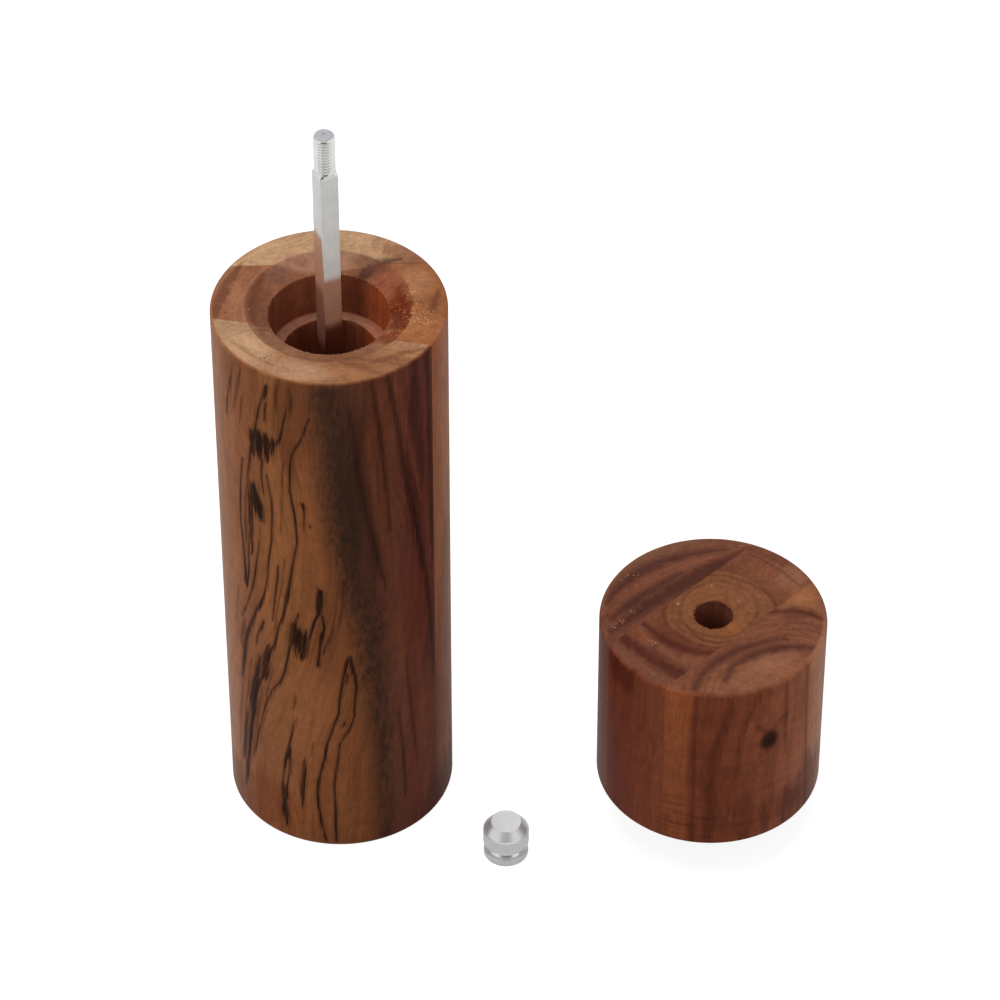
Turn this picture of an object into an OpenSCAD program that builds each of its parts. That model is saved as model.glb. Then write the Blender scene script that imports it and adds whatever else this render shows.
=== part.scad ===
// A wooden pepper grinder, opened for filling.
// The body stands with its square shaft sticking up, the head stands beside it
// on its tenon, and the knob stands in front of the two.
// Origin: on the table, midway between the axes of the body and the head.
// +X runs from the body towards the head, -Y towards the front, +Z up.

/* [Body] */
// Outer diameter of the turned wood, body and head alike
wood_d = 55; // [52:0.5:60]
// Height of the body
body_h = 152.4; // [130:0.2:180]
// Rounding of the body's top edge
rim_round = 0.8; // [0.3:0.1:2]
// Chamfer of the edges that stand on the table
foot_chamfer = 0.5; // [0.3:0.1:1.5]
// Diameter of the shallow filling dish in the body's top
dish_d = 39; // [34:0.5:44]
// Depth of the dish at its inner edge
dish_depth = 2.6; // [1:0.1:4]
// Diameter of the counterbore that takes the head's tenon
counterbore_d = 28; // [26:0.5:32]
// Depth of the counterbore's floor below the top
ledge_depth = 13.7; // [12.5:0.1:20]
// Diameter of the pepper chamber
chamber_d = 21.6; // [18:0.2:24]

/* [Body boards] */
// Distance of the front glue line from the body's axis
body_front_glue = 9.3; // [7:0.1:12]
// Angle of the front glue line
body_front_angle = -10.3; // [-14:0.1:-2]
// Distance of the back glue line from the body's axis
body_back_glue = 14.7; // [12:0.1:17]
// Angle of the back glue line
body_back_angle = 1.9; // [-4:0.1:4]

/* [Head] */
// Height of the head above its rim
head_h = 51.2; // [40:0.2:52]
// Rounding of the head's top edge
head_round = 1.5; // [0.5:0.1:3]
// Diameter of the hole that the shaft comes up through
head_bore_d = 9; // [7.5:0.1:10]
// Length of the tenon under the head
tenon_l = 12; // [8:0.1:12.4]
// Clearance all round the tenon in the counterbore
tenon_gap = 0.3; // [0.2:0.05:0.8]

/* [Head boards] */
// Distance of the back glue line from the head's axis
head_back_glue = 10.2; // [9:0.1:12]
// Distance of the front glue line from the head's axis
head_front_glue = 9; // [8:0.1:11]
// Angle of the head's glue lines
head_glue_angle = 44.5; // [30:0.5:60]

/* [Layout on the table] */
// Distance of the head's axis to the right of the body's
head_right = 90.8; // [70:0.2:130]
// Distance of the head's axis in front of the body's
head_forward = 10.8; // [0:0.2:20]
// Distance of the knob to the right of the body's axis
knob_right = 40.9; // [38:0.1:46]
// Distance of the knob in front of the body's axis
knob_forward = 29.3; // [25:0.1:32]

/* [Shaft] */
// Side of the square shaft
shaft_side = 4.6; // [4.4:0.1:4.9]
// Rounding of the shaft's long edges
shaft_corner = 0.3; // [0.1:0.05:0.6]
// Turn of the shaft as it stands
shaft_angle = 26; // [0:1:89]
// Height of the shaft's tip above the body while the head is off
tip_above_body = 50.7; // [48:0.1:52]
// Diameter of the threaded end
thread_d = 5; // [5:0.1:6]
// Length of the threaded end
thread_l = 10.5; // [8:0.1:16]
// Height of the chamfer at the tip
tip_chamfer = 0.8; // [0.3:0.1:1.2]

/* [Knob] */
// Diameter over the knurled band
knob_d = 11.2; // [10:0.1:13]
// Height of the knob
knob_h = 10.5; // [10:0.1:13]
// Diameter of the flat face on top
knob_face_d = 7.4; // [6:0.1:9]
// Diameter of the ring at the base
knob_base_d = 10.9; // [10:0.1:13]
// Height of the ring at the base
knob_base_h = 1.9; // [1.2:0.1:2.5]
// Diameter of the polished neck
knob_neck_d = 8.8; // [7.5:0.1:9.5]
// Height of the polished neck
knob_neck_h = 2.2; // [1.5:0.1:2.8]
// Height of the knurled band
knurl_h = 3.9; // [3:0.1:4.5]
// Number of grooves in the knurled band
knurl_count = 44; // [24:1:60]
// Depth of the grooves in the knurled band
knurl_depth = 0.22; // [0.1:0.01:0.4]
// Depth of the threaded hole in the knob
knob_bore_depth = 8.2; // [6:0.1:8.5]
// Diameter of the hole before its thread is cut
knob_bore_d = 4.2; // [4:0.1:4.6]

/* [Grinder] */
// Travel of the shaft from its rest to the finest setting
rise = 6.5; // [5:0.1:7]
// Clearance between the two grinding cones at the finest setting
grind_gap = 0.4; // [0.35:0.05:0.8]
// Diameter of the rotor at its foot
rotor_d = 26.4; // [24:0.2:27]
// Diameter of the rotor at its top
rotor_top_d = 14; // [13.6:0.2:17]
// Height of the rotor
rotor_h = 14; // [12:0.5:16]
// Number of grooves on each of the two grinding cones
tooth_count = 12; // [8:1:16]
// Depth of the grooves
tooth_depth = 0.9; // [0.5:0.1:1.2]
// Slant of the grooves
tooth_slant = 14; // [0:1:20]
// Outer diameter of the stator
stator_d = 34; // [33.4:0.2:35]
// Width of the stator's flange around it
flange_w = 4.7; // [4.6:0.1:5.4]
// Thickness of the stator's flange
flange_t = 2; // [1.5:0.1:3]
// Width of the retaining bar
bar_w = 9; // [7:0.5:12]
// Thickness of the retaining bar
bar_t = 2; // [1.5:0.1:3]
// Height of the retaining bar above the table
bar_lift = 4; // [3:0.1:6]

/* [Spring and bridge] */
// Length of the spring while the head is off
spring_l = 17.5; // [16:0.5:22]
// Diameter of the spring over its wire
spring_d = 9.6; // [9.2:0.1:11]
// Diameter of the spring's wire
wire_d = 1; // [0.8:0.1:1.2]
// Number of curls in the spring
curl_count = 7; // [5:1:9]
// Diameter of the washer under the spring
seat_d = 12; // [11.4:0.1:13]
// Thickness of the washer under the spring
seat_t = 1; // [0.6:0.1:1.5]
// Thickness of the bridge's arms
bridge_t = 2; // [1.5:0.1:3]
// Width of the bridge's arms and posts
arm_w = 4.5; // [3.5:0.1:6]
// Wall of the bridge's two rings
bridge_wall = 2.2; // [1.6:0.1:2.6]
// Diameter of the bridge's hub
hub_d = 12.6; // [11:0.2:14]

/* [Screws and drive plate] */
// Diameter of the retaining bar's screws
bar_screw_d = 2.6; // [2.2:0.1:2.8]
// Length of the retaining bar's screws under the head
bar_screw_l = 12; // [8:0.5:16]
// Diameter of those screws' heads
bar_screw_head_d = 4.6; // [4.2:0.1:4.8]
// Height of those screws' heads
bar_screw_head_h = 1.7; // [1.2:0.1:2]
// Diameter of the screw that holds the rotor on the shaft
rotor_screw_d = 2.6; // [2:0.1:2.8]
// Length of that screw under its head
rotor_screw_l = 11; // [8:0.5:16]
// Diameter of that screw's head
rotor_screw_head_d = 6; // [5:0.1:7]
// Height of that screw's head
rotor_screw_head_h = 2; // [1.4:0.1:2.4]
// Diameter of the washer under the rotor
rotor_washer_d = 10; // [8:0.1:12]
// Thickness of the washer under the rotor
rotor_washer_t = 1; // [0.6:0.1:1.5]
// Diameter of the drive plate
plate_d = 21; // [20:0.1:24]
// Thickness of the drive plate
plate_t = 1.2; // [1:0.1:1.6]
// Distance of the plate's two screws from the axis
plate_screw_reach = 7.6; // [7:0.1:8]
// Diameter of the plate's screws
plate_screw_d = 2; // [1.6:0.1:2.2]
// Diameter over the plate's screw heads
plate_screw_head_d = 4; // [3.4:0.1:4]
// Length of the plate's screws
plate_screw_l = 9; // [6:0.5:12]

/* [Clearances] */
// Clearance all round a piece that is pressed or screwed into its place
fit_gap = 0.05; // [0.03:0.01:0.1]
// Clearance all round a ring seated in the wood
seat_gap = 0.1; // [0.05:0.05:0.3]
// Clearance between faces that slide on each other
slip_gap = 0.05; // [0.03:0.01:0.1]
// Clearance all round the shaft's edges where it turns in a round hole
turn_gap = 0.2; // [0.1:0.05:0.3]
// Clearance on each side of the shaft in the drive plate
drive_gap = 0.2; // [0.1:0.05:0.4]

/* [Hidden] */
$fn = 96;

// A cut that breaks through a face starts this far outside it
past = 1;
// The grooves of the grinder run this far past both ends of their cone
groove_past = 3;
wood_r = wood_d / 2;
// Half the diagonal of the square shaft, over its rounded edges
shaft_reach = sqrt(2) * (shaft_side / 2 - shaft_corner) + shaft_corner;
shaft_hole_r = shaft_reach + turn_gap;

// Places on the table
body_at = [-head_right / 2, head_forward / 2, 0];
head_at = [head_right / 2, -head_forward / 2, 0];
knob_at = body_at + [knob_right, -knob_forward, 0];

// Heights in the body, from the table up
bar_top = bar_lift + bar_t;
flange_top = bar_top + flange_t;
rotor_screw_z = bar_top + slip_gap;
rotor_washer_z = rotor_screw_z + rotor_screw_head_h;
rotor_z = rotor_washer_z + rotor_washer_t;
rotor_top_z = rotor_z + rotor_h;
seat_z = rotor_top_z + slip_gap;
spring_z = seat_z + seat_t;
bridge_z = spring_z + spring_l;
recess_top = bridge_z + bridge_t;
ledge_z = body_h - ledge_depth;
tip_z = body_h + tip_above_body;
shoulder_z = tip_z - thread_l;

// The stator's cone is the rotor's own cone, raised and moved out by the gap
cone_foot_z = rotor_z + rise;
cone_slope = (rotor_d - rotor_top_d) / 2 / rotor_h;
cone_foot_r = rotor_d / 2 + grind_gap;
// The rotor stands this far out of the stator at the finest setting
rotor_proud = 1.5;
stator_top = rotor_top_z + rise - rotor_proud;
stator_throat_r = cone_foot_r - cone_slope * (stator_top - cone_foot_z);
cone_angle = atan(cone_slope);

stator_recess_r = stator_d / 2 + seat_gap;
flange_r = stator_d / 2 + flange_w;
bar_recess_r = flange_r + seat_gap;
// The bar's two screws go through the middle of the flange
bar_screw_reach = stator_d / 2 + flange_w / 2;
bar_l = 2 * bar_screw_reach + bar_screw_head_d;
plate_pocket_r = plate_d / 2 + seat_gap;
tenon_r = counterbore_d / 2 - tenon_gap;

// Longest reach of a cut across the wood
span = 4 * wood_d;

// Turned piece with a rounded top edge and a chamfered foot
module turned(r, h, top, foot) {
    rotate_extrude() {
        polygon([[0, 0], [r - foot, 0], [r, foot], [r, h - top], [r - top, h], [0, h]]);
        translate([r - top, h - top])
            circle(top);
    }
}

// Everything behind a glue line at the given distance and angle
module behind(distance, angle) {
    rotate([0, 0, angle])
        translate([-span / 2, distance, -span])
            cube([span, span, 3 * span]);
}

// Two copies, one on each side of the axis
module pair(reach) {
    for (side = [-1, 1])
        translate([side * reach, 0, 0])
            children();
}

module square_bar(side, corner, h) {
    linear_extrude(h) {
        square([side, side - 2 * corner], center = true);
        square([side - 2 * corner, side], center = true);
        for (x = [-1, 1], y = [-1, 1])
            translate([x, y] * (side / 2 - corner))
                circle(corner, $fn = 24);
    }
}

// Body, turned and bored from three boards glued together

module bored_body() {
    difference() {
        turned(wood_r, body_h, rim_round, foot_chamfer);
        translate([0, 0, -past])
            cylinder(r = bar_recess_r, h = flange_top + past);
        translate([0, 0, -past])
            cylinder(r = stator_recess_r, h = recess_top + past);
        cylinder(d = chamber_d, h = body_h);
        translate([0, 0, ledge_z])
            cylinder(d = counterbore_d, h = ledge_depth + past);
        translate([0, 0, body_h - dish_depth])
            dish();
        translate([0, 0, bar_lift])
            pair(bar_screw_reach)
                cylinder(d = bar_screw_d + 2 * fit_gap, h = bar_screw_l + past, $fn = 32);
    }
}

// The dish's cone, carried on past the rim
module dish() {
    widening = (dish_d - counterbore_d) / 2 / dish_depth;
    h = dish_depth + past;
    cylinder(r1 = counterbore_d / 2, r2 = counterbore_d / 2 + widening * h, h = h);
}

module body_front_board() {
    color("saddlebrown")
        translate(body_at)
            difference() {
                bored_body();
                behind(-body_front_glue, body_front_angle);
            }
}

module body_middle_board() {
    color("peru")
        translate(body_at)
            difference() {
                intersection() {
                    bored_body();
                    behind(-body_front_glue, body_front_angle);
                }
                behind(body_back_glue, body_back_angle);
            }
}

module body_back_board() {
    color("burlywood")
        translate(body_at)
            intersection() {
                bored_body();
                behind(body_back_glue, body_back_angle);
            }
}

// Grinder in the foot of the body

// One straight groove along a cone of the grinder. It starts on the foot
// circle and runs up the slope, slanted across it.
module groove(foot_r, foot_z, slant) {
    side = sqrt(2) * tooth_depth;
    length = rotor_h / cos(cone_angle) + 2 * groove_past;
    translate([foot_r, 0, foot_z])
        rotate([0, -cone_angle, 0])
            rotate([slant, 0, 0])
                translate([0, 0, -groove_past])
                    rotate([0, 0, 45])
                        translate([-side / 2, -side / 2, 0])
                            cube([side, side, length]);
}

// The same groove all round the cone
module grooves(foot_r, foot_z, slant) {
    for (i = [0 : tooth_count - 1])
        rotate([0, 0, i * 360 / tooth_count])
            groove(foot_r, foot_z, slant);
}

module stator_ring() {
    cone_h = stator_top - cone_foot_z;
    color("dimgray")
        translate(body_at)
            difference() {
                union() {
                    translate([0, 0, bar_top])
                        cylinder(r = flange_r, h = flange_t);
                    translate([0, 0, bar_top])
                        cylinder(d = stator_d, h = stator_top - bar_top);
                }
                translate([0, 0, bar_top - past])
                    cylinder(r = cone_foot_r, h = cone_foot_z - bar_top + past);
                translate([0, 0, cone_foot_z])
                    cylinder(r1 = cone_foot_r, r2 = stator_throat_r, h = cone_h);
                translate([0, 0, stator_top - past])
                    cylinder(r = stator_throat_r, h = 2 * past);
                grooves(cone_foot_r, cone_foot_z, -tooth_slant);
                translate([0, 0, bar_top - past])
                    pair(bar_screw_reach)
                        cylinder(d = bar_screw_d + 2 * fit_gap, h = flange_t + 2 * past, $fn = 32);
            }
}

module rotor() {
    color("gray")
        translate(body_at)
            difference() {
                translate([0, 0, rotor_z])
                    cylinder(d1 = rotor_d, d2 = rotor_top_d, h = rotor_h);
                grooves(rotor_d / 2, rotor_z, tooth_slant);
                translate([0, 0, rotor_z - past])
                    rotate([0, 0, shaft_angle])
                        translate([-1, -1, 0] * (shaft_side / 2 + fit_gap))
                            cube([shaft_side + 2 * fit_gap, shaft_side + 2 * fit_gap, rotor_h + 2 * past]);
            }
}

// Flat ring of the bridge, as wide as the stator
module bridge_ring(z, h) {
    translate([0, 0, z])
        difference() {
            cylinder(d = stator_d, h = h);
            translate([0, 0, -past])
                cylinder(d = stator_d - 2 * bridge_wall, h = h + 2 * past);
        }
}

// Two rings joined by three posts, with three arms that hold the hub
module guide_bridge() {
    color("silver")
        translate(body_at)
            difference() {
                union() {
                    bridge_ring(stator_top, bridge_t);
                    bridge_ring(bridge_z, bridge_t);
                    intersection() {
                        bridge_ring(stator_top, recess_top - stator_top);
                        bridge_arms(stator_top, recess_top - stator_top);
                    }
                    intersection() {
                        translate([0, 0, bridge_z])
                            cylinder(d = stator_d - bridge_wall, h = bridge_t);
                        bridge_arms(bridge_z, bridge_t);
                    }
                    translate([0, 0, bridge_z])
                        cylinder(d = hub_d, h = bridge_t);
                }
                translate([0, 0, bridge_z - past])
                    cylinder(r = shaft_hole_r, h = bridge_t + 2 * past);
            }
}

module bridge_arms(z, h) {
    for (angle = [90, 210, 330])
        rotate([0, 0, angle])
            translate([0, -arm_w / 2, z])
                cube([stator_d, arm_w, h]);
}

// Flat bar under the stator that the rotor's screw rests on
module retaining_bar() {
    color("lightsteelblue")
        translate(body_at)
            difference() {
                translate([0, 0, bar_lift])
                    intersection() {
                        translate([-bar_l / 2, -bar_w / 2, 0])
                            cube([bar_l, bar_w, bar_t]);
                        cylinder(d = bar_l, h = bar_t);
                    }
                translate([0, 0, bar_lift - past])
                    pair(bar_screw_reach)
                        cylinder(d = bar_screw_d + 2 * fit_gap, h = bar_t + 2 * past, $fn = 32);
            }
}

// Slotted pan head with a plain shank above it, seen from below
module screw(d, l, head_d, head_h) {
    slot_w = head_d / 6;
    slot_h = head_h / 3;
    difference() {
        union() {
            cylinder(d = head_d, h = head_h, $fn = 48);
            translate([0, 0, head_h])
                cylinder(d = d, h = l, $fn = 32);
        }
        translate([-head_d, -slot_w / 2, -past])
            cube([2 * head_d, slot_w, slot_h + past]);
    }
}

module retaining_bar_screws() {
    color("slategray")
        translate(body_at + [0, 0, bar_lift - bar_screw_head_h])
            pair(bar_screw_reach)
                screw(bar_screw_d, bar_screw_l, bar_screw_head_d, bar_screw_head_h);
}

// Spring between the bridge's hub and the rotor

module spring_seat_washer() {
    color("gainsboro")
        translate(body_at + [0, 0, seat_z])
            difference() {
                cylinder(d = seat_d, h = seat_t);
                translate([0, 0, -past])
                    cylinder(r = shaft_hole_r, h = seat_t + 2 * past);
            }
}

coil_r = (spring_d - wire_d) / 2;
rings_per_curl = 8;
wire_sides = 6;
ring_count = curl_count * rings_per_curl;
// The wire's ends run half a wire past each face and are ground flat there
coil_pitch = spring_l / curl_count;
function coil_point(i) =
    let (turn = 360 * i / rings_per_curl)
    [coil_r * cos(turn), coil_r * sin(turn), spring_l * i / ring_count];
function coil_ring(i) =
    let (turn = 360 * i / rings_per_curl, lean = atan(coil_pitch / (2 * PI * coil_r)))
    [for (k = [0 : wire_sides - 1])
        let (
            a = 360 * k / wire_sides,
            out = wire_d / 2 * cos(a),
            up = wire_d / 2 * sin(a)
        )
        coil_point(i) + [
            out * cos(turn) + up * sin(lean) * sin(turn),
            out * sin(turn) - up * sin(lean) * cos(turn),
            up * cos(lean)
        ]
    ];
coil_points = [for (i = [0 : ring_count]) each coil_ring(i)];
coil_faces = concat(
    [[for (k = [0 : wire_sides - 1]) k]],
    [for (i = [0 : ring_count - 1], k = [0 : wire_sides - 1])
        let (a = i * wire_sides + k, b = i * wire_sides + (k + 1) % wire_sides)
        each [[a, a + wire_sides, b], [b, a + wire_sides, b + wire_sides]]],
    [[for (k = [wire_sides - 1 : -1 : 0]) ring_count * wire_sides + k]]
);
// Least gap from one curl to the next, measured between the centre points
coil_gap = min([for (i = [0 : ring_count], j = [i + rings_per_curl / 2 : ring_count])
    if (j > i + rings_per_curl / 2) norm(coil_point(i) - coil_point(j))]) - wire_d;
echo(least_gap_in_spring = coil_gap);

module spring() {
    color("whitesmoke")
        translate(body_at + [0, 0, spring_z])
            intersection() {
                polyhedron(coil_points, coil_faces);
                cylinder(d = spring_d + wire_d, h = spring_l);
            }
}

// Shaft and what holds the rotor on it

module drive_shaft() {
    color("lightgray")
        translate(body_at)
            difference() {
                union() {
                    translate([0, 0, rotor_z])
                        rotate([0, 0, shaft_angle])
                            square_bar(shaft_side, shaft_corner, shoulder_z - rotor_z);
                    translate([0, 0, shoulder_z])
                        cylinder(d = thread_d, h = thread_l - tip_chamfer, $fn = 48);
                    translate([0, 0, shoulder_z - past])
                        cylinder(d = shaft_side - 2 * shaft_corner, h = 2 * past, $fn = 48);
                    translate([0, 0, tip_z - tip_chamfer])
                        cylinder(d1 = thread_d, d2 = thread_d - 2 * tip_chamfer, h = tip_chamfer, $fn = 48);
                }
                translate([0, 0, rotor_z - past])
                    cylinder(d = rotor_screw_d + 2 * fit_gap, h = rotor_screw_l + past, $fn = 32);
            }
}

module rotor_washer() {
    color("gainsboro")
        translate(body_at + [0, 0, rotor_washer_z])
            difference() {
                cylinder(d = rotor_washer_d, h = rotor_washer_t);
                translate([0, 0, -past])
                    cylinder(d = rotor_screw_d + 2 * fit_gap, h = rotor_washer_t + 2 * past, $fn = 32);
            }
}

module rotor_screw() {
    color("slategray")
        translate(body_at + [0, 0, rotor_screw_z])
            screw(rotor_screw_d, rotor_screw_l, rotor_screw_head_d, rotor_screw_head_h);
}

// Head, turned from three boards and standing on its tenon

module bored_head() {
    difference() {
        union() {
            translate([0, 0, tenon_l])
                turned(wood_r, head_h, head_round, foot_chamfer);
            turned(tenon_r, tenon_l + past, rim_round, foot_chamfer);
        }
        translate([0, 0, -past])
            cylinder(d = head_bore_d, h = tenon_l + head_h + 2 * past);
        translate([0, 0, -past])
            cylinder(r = plate_pocket_r, h = plate_t + past);
        rotate([0, 0, head_glue_angle])
            pair(plate_screw_reach)
                cylinder(d = plate_screw_d + 2 * fit_gap, h = plate_screw_l + past, $fn = 32);
    }
}

module head_front_board() {
    color("chocolate")
        translate(head_at)
            difference() {
                bored_head();
                behind(-head_front_glue, head_glue_angle);
            }
}

module head_middle_board() {
    color("sienna")
        translate(head_at)
            difference() {
                intersection() {
                    bored_head();
                    behind(-head_front_glue, head_glue_angle);
                }
                behind(head_back_glue, head_glue_angle);
            }
}

module head_back_board() {
    color("indianred")
        translate(head_at)
            intersection() {
                bored_head();
                behind(head_back_glue, head_glue_angle);
            }
}

// A countersunk head: a cone from the given diameter down to the shank's
module countersink(d, head_d, grow) {
    h = (head_d - d) / 2;
    translate([0, 0, -grow])
        cylinder(r1 = head_d / 2 + 2 * grow, r2 = d / 2 + grow, h = h + grow, $fn = 48);
}

// Plate let into the tenon's foot, whose square hole the shaft turns in
module drive_plate() {
    hole = shaft_side + 2 * drive_gap;
    color("silver")
        translate(head_at)
            difference() {
                cylinder(d = plate_d, h = plate_t);
                translate([-hole / 2, -hole / 2, -past])
                    cube([hole, hole, plate_t + 2 * past]);
                rotate([0, 0, head_glue_angle])
                    pair(plate_screw_reach) {
                        countersink(plate_screw_d, plate_screw_head_d, fit_gap);
                        cylinder(d = plate_screw_d + 2 * fit_gap, h = plate_t + past, $fn = 32);
                    }
            }
}

module drive_plate_screws() {
    color("slategray")
        translate(head_at)
            rotate([0, 0, head_glue_angle])
                pair(plate_screw_reach) {
                    countersink(plate_screw_d, plate_screw_head_d, 0);
                    cylinder(d = plate_screw_d, h = plate_screw_l, $fn = 32);
                }
}

// Knob, which screws down on the shaft's threaded end

// Outline of the knurled band: a circle with a groove for each tooth
function knurl_outline() = [
    for (i = [0 : 2 * knurl_count - 1])
        let (
            r = knob_d / 2 - (i % 2 == 0 ? 0 : knurl_depth),
            a = 180 * i / knurl_count
        )
        [r * cos(a), r * sin(a)]
];

module knob() {
    band_z = knob_base_h + knob_neck_h;
    cone_z = band_z + knurl_h;
    cone_foot_d = knob_d - 4 * knurl_depth;
    color("lightgray")
        translate(knob_at)
            difference() {
                union() {
                    cylinder(d = knob_base_d, h = knob_base_h);
                    cylinder(d = knob_neck_d, h = cone_z);
                    translate([0, 0, band_z])
                        linear_extrude(knurl_h)
                            polygon(knurl_outline());
                    translate([0, 0, cone_z])
                        cylinder(d1 = cone_foot_d, d2 = knob_face_d, h = knob_h - cone_z);
                }
                translate([0, 0, -past])
                    cylinder(d = knob_bore_d, h = knob_bore_depth + past, $fn = 48);
            }
}

body_front_board();
body_middle_board();
body_back_board();
stator_ring();
guide_bridge();
retaining_bar();
retaining_bar_screws();
spring_seat_washer();
spring();
drive_shaft();
rotor();
rotor_washer();
rotor_screw();
head_back_board();
head_middle_board();
head_front_board();
drive_plate();
drive_plate_screws();
knob();
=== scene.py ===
# %% [markdown]
# # A turned pepper grinder, taken apart
#
# The real object is an eight-inch mill. Its body and its head are turned from boards of oiled
# acacia, glued side by side. A square aluminium shaft stands in the body and carries the grinding
# cone at its foot, and a small metal knob screws on its tip to hold the head down. Here the head
# and the knob are off and lie beside the body, on white paper.
#
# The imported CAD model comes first. It is the frame that everything else is fitted to: a piece of
# this scene either is one of its solids with a better finish, or stands exactly where one stands.

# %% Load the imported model
import math
from functools import partial
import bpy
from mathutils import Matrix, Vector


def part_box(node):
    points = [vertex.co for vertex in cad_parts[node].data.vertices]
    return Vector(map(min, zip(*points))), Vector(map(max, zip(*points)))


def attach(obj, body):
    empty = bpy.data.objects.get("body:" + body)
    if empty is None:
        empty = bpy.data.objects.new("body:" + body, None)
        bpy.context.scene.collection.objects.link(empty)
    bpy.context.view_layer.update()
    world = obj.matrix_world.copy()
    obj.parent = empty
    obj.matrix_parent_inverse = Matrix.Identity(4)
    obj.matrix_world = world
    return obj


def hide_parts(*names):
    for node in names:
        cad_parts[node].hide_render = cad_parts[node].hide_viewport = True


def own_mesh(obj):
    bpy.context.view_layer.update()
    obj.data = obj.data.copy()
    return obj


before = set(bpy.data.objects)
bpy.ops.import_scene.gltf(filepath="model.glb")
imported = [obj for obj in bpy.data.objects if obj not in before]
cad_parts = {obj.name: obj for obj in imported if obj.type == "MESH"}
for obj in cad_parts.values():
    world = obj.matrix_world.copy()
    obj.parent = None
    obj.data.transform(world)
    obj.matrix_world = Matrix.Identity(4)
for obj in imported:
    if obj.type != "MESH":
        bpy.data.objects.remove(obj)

from types import SimpleNamespace

import bmesh
import bpy
from mathutils import Vector, noise

MM = 0.001
scene = bpy.context.scene
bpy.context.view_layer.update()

# %% [markdown]
# ## Where things stand
#
# Sizes that the model can tell are read from it: the three axes, the wood's radius and its
# heights. All sizes below are in millimetres and are turned to metres only in the meshes.

# %% Axes and heights from the model
def axis_of(node):
    """The upright axis through the middle of a CAD solid, as a place on the table in mm."""
    low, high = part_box(node)
    return Vector(((low.x + high.x) / 2, (low.y + high.y) / 2, 0)) / MM


def heights_of(node):
    """The lowest and highest point of a CAD solid, in mm above the table."""
    low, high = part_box(node)
    return low.z / MM, high.z / MM


body_axis = axis_of("drive_shaft")
head_axis = axis_of("drive_plate")
knob_axis = axis_of("knob")
body_foot, body_top = heights_of("body_middle_board")
head_foot, head_top = heights_of("head_middle_board")
wood_r = body_axis.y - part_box("body_front_board")[0].y / MM
print("axes:", body_axis, head_axis, knob_axis, "wood radius", round(wood_r, 2))

# %% [markdown]
# ## Camera
#
# The photograph was taken with a long lens from well above the table, so upright edges come
# almost parallel and the round tops show as wide ovals. The lens and the height were found by
# fitting the outlines of the body and the head.

# %% Camera
LENS = 185.24  # mm, on a sensor 36 mm wide
PITCH = 43.16  # degrees that the camera looks down
STAND_OFF = 1360.4  # from the lens to the place it looks at
LOOK_AT = Vector((-5.98, 102.37, 0))

pitch = math.radians(PITCH)
camera_data = bpy.data.cameras.new("camera")
camera_data.lens = LENS
camera_data.sensor_width = 36
camera = bpy.data.objects.new("camera", camera_data)
scene.collection.objects.link(camera)
camera.location = (LOOK_AT + Vector((0, -math.cos(pitch), math.sin(pitch))) * STAND_OFF) * MM
camera.rotation_euler = (math.pi / 2 - pitch, 0, 0)
scene.camera = camera
print("camera at", camera.location)

# %% [markdown]
# ## Helpers for finishes
#
# Colours are written as a painter's hex codes, and Blender's nodes want linear light, so one
# function turns the first into the second. Another adds any node to any tree, with its settings
# and with what goes into its sockets, so that a whole finish reads as a few lines. A noise that
# pushes a value about is used so often that it has a name too.

# %% Colour and node helpers
LAYER = {"out": 2, "data_type": "RGBA"}  # a Mix that lays colour 7 over colour 6
SOFT_ENDS = {"interpolation_type": "SMOOTHSTEP"}
NOISE = (0.3, 0.7)  # where nearly all values of a noise lie


def paint(code):
    """An sRGB hex colour, such as "#8A5A36", as the linear colour that nodes take."""
    parts = [int(code[i : i + 2], 16) / 255 for i in (1, 3, 5)]
    return (*(p / 12.92 if p <= 0.04045 else ((p + 0.055) / 1.055) ** 2.4 for p in parts), 1)


def add_to(tree, kind, *sources, named=None, out=0, stops=None, curves=None, **settings):
    """Adds a node and returns one of its outputs, or all of them if out is None.

    The kind has its operation after a dot. Sources fill the sockets in order and named fills them
    by name or number, each with another node's output, a plain value or a hex colour. Stops are a
    ramp's places and colours, and curves the points of its curves.
    """
    kind, _, operation = kind.partition(".")
    node = tree.nodes.new(kind if hasattr(bpy.types, kind) else "ShaderNode" + kind)
    for key, value in {**settings, **({"operation": operation} if operation else {})}.items():
        setattr(node, key, value)
    for socket, source in {**dict(enumerate(sources)), **(named or {})}.items():
        if isinstance(source, bpy.types.NodeSocket):
            tree.links.new(source, node.inputs[socket])
        elif source is not None:
            node.inputs[socket].default_value = paint(source) if isinstance(source, str) else source
    if stops:
        ramp = node.color_ramp.elements
        ramp.remove(ramp[1])
        ramp[0].position, ramp[0].color = stops[0][0], paint(stops[0][1])
        for place, code in stops[1:]:
            ramp.new(place).color = paint(code)
    for curve, points in zip(node.mapping.curves if curves else (), curves or ()):
        curve.points[0].location, curve.points[1].location = points[0], points[-1]
        for point in points[1:-1]:
            curve.points.new(*point)
        for point in curve.points:
            point.handle_type = "VECTOR"
    if curves:
        node.mapping.update()
    return node.outputs if out is None else node.outputs[out]


def new_finish(name):
    """An empty material, and the call that adds nodes to it."""
    material = bpy.data.materials.new(name)
    material.use_nodes = True
    material.node_tree.nodes.clear()
    return material, partial(add_to, material.node_tree)


def shaken(add, value, by, amount):
    """A value that a noise pushes up and down, by half the amount each way at most."""
    return add("Math.MULTIPLY_ADD", by, amount, add("Math.ADD", value, -amount / 2))


# %% [markdown]
# ## White paper and soft light
#
# The object stands on white paper with soft light from above. The paper reads as pure white to the
# camera, and still takes a faint shadow, because part of its brightness comes from the lamps. For
# light that bounces on to the wood it is ordinary pale paper, and reflections lie between the two.

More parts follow.
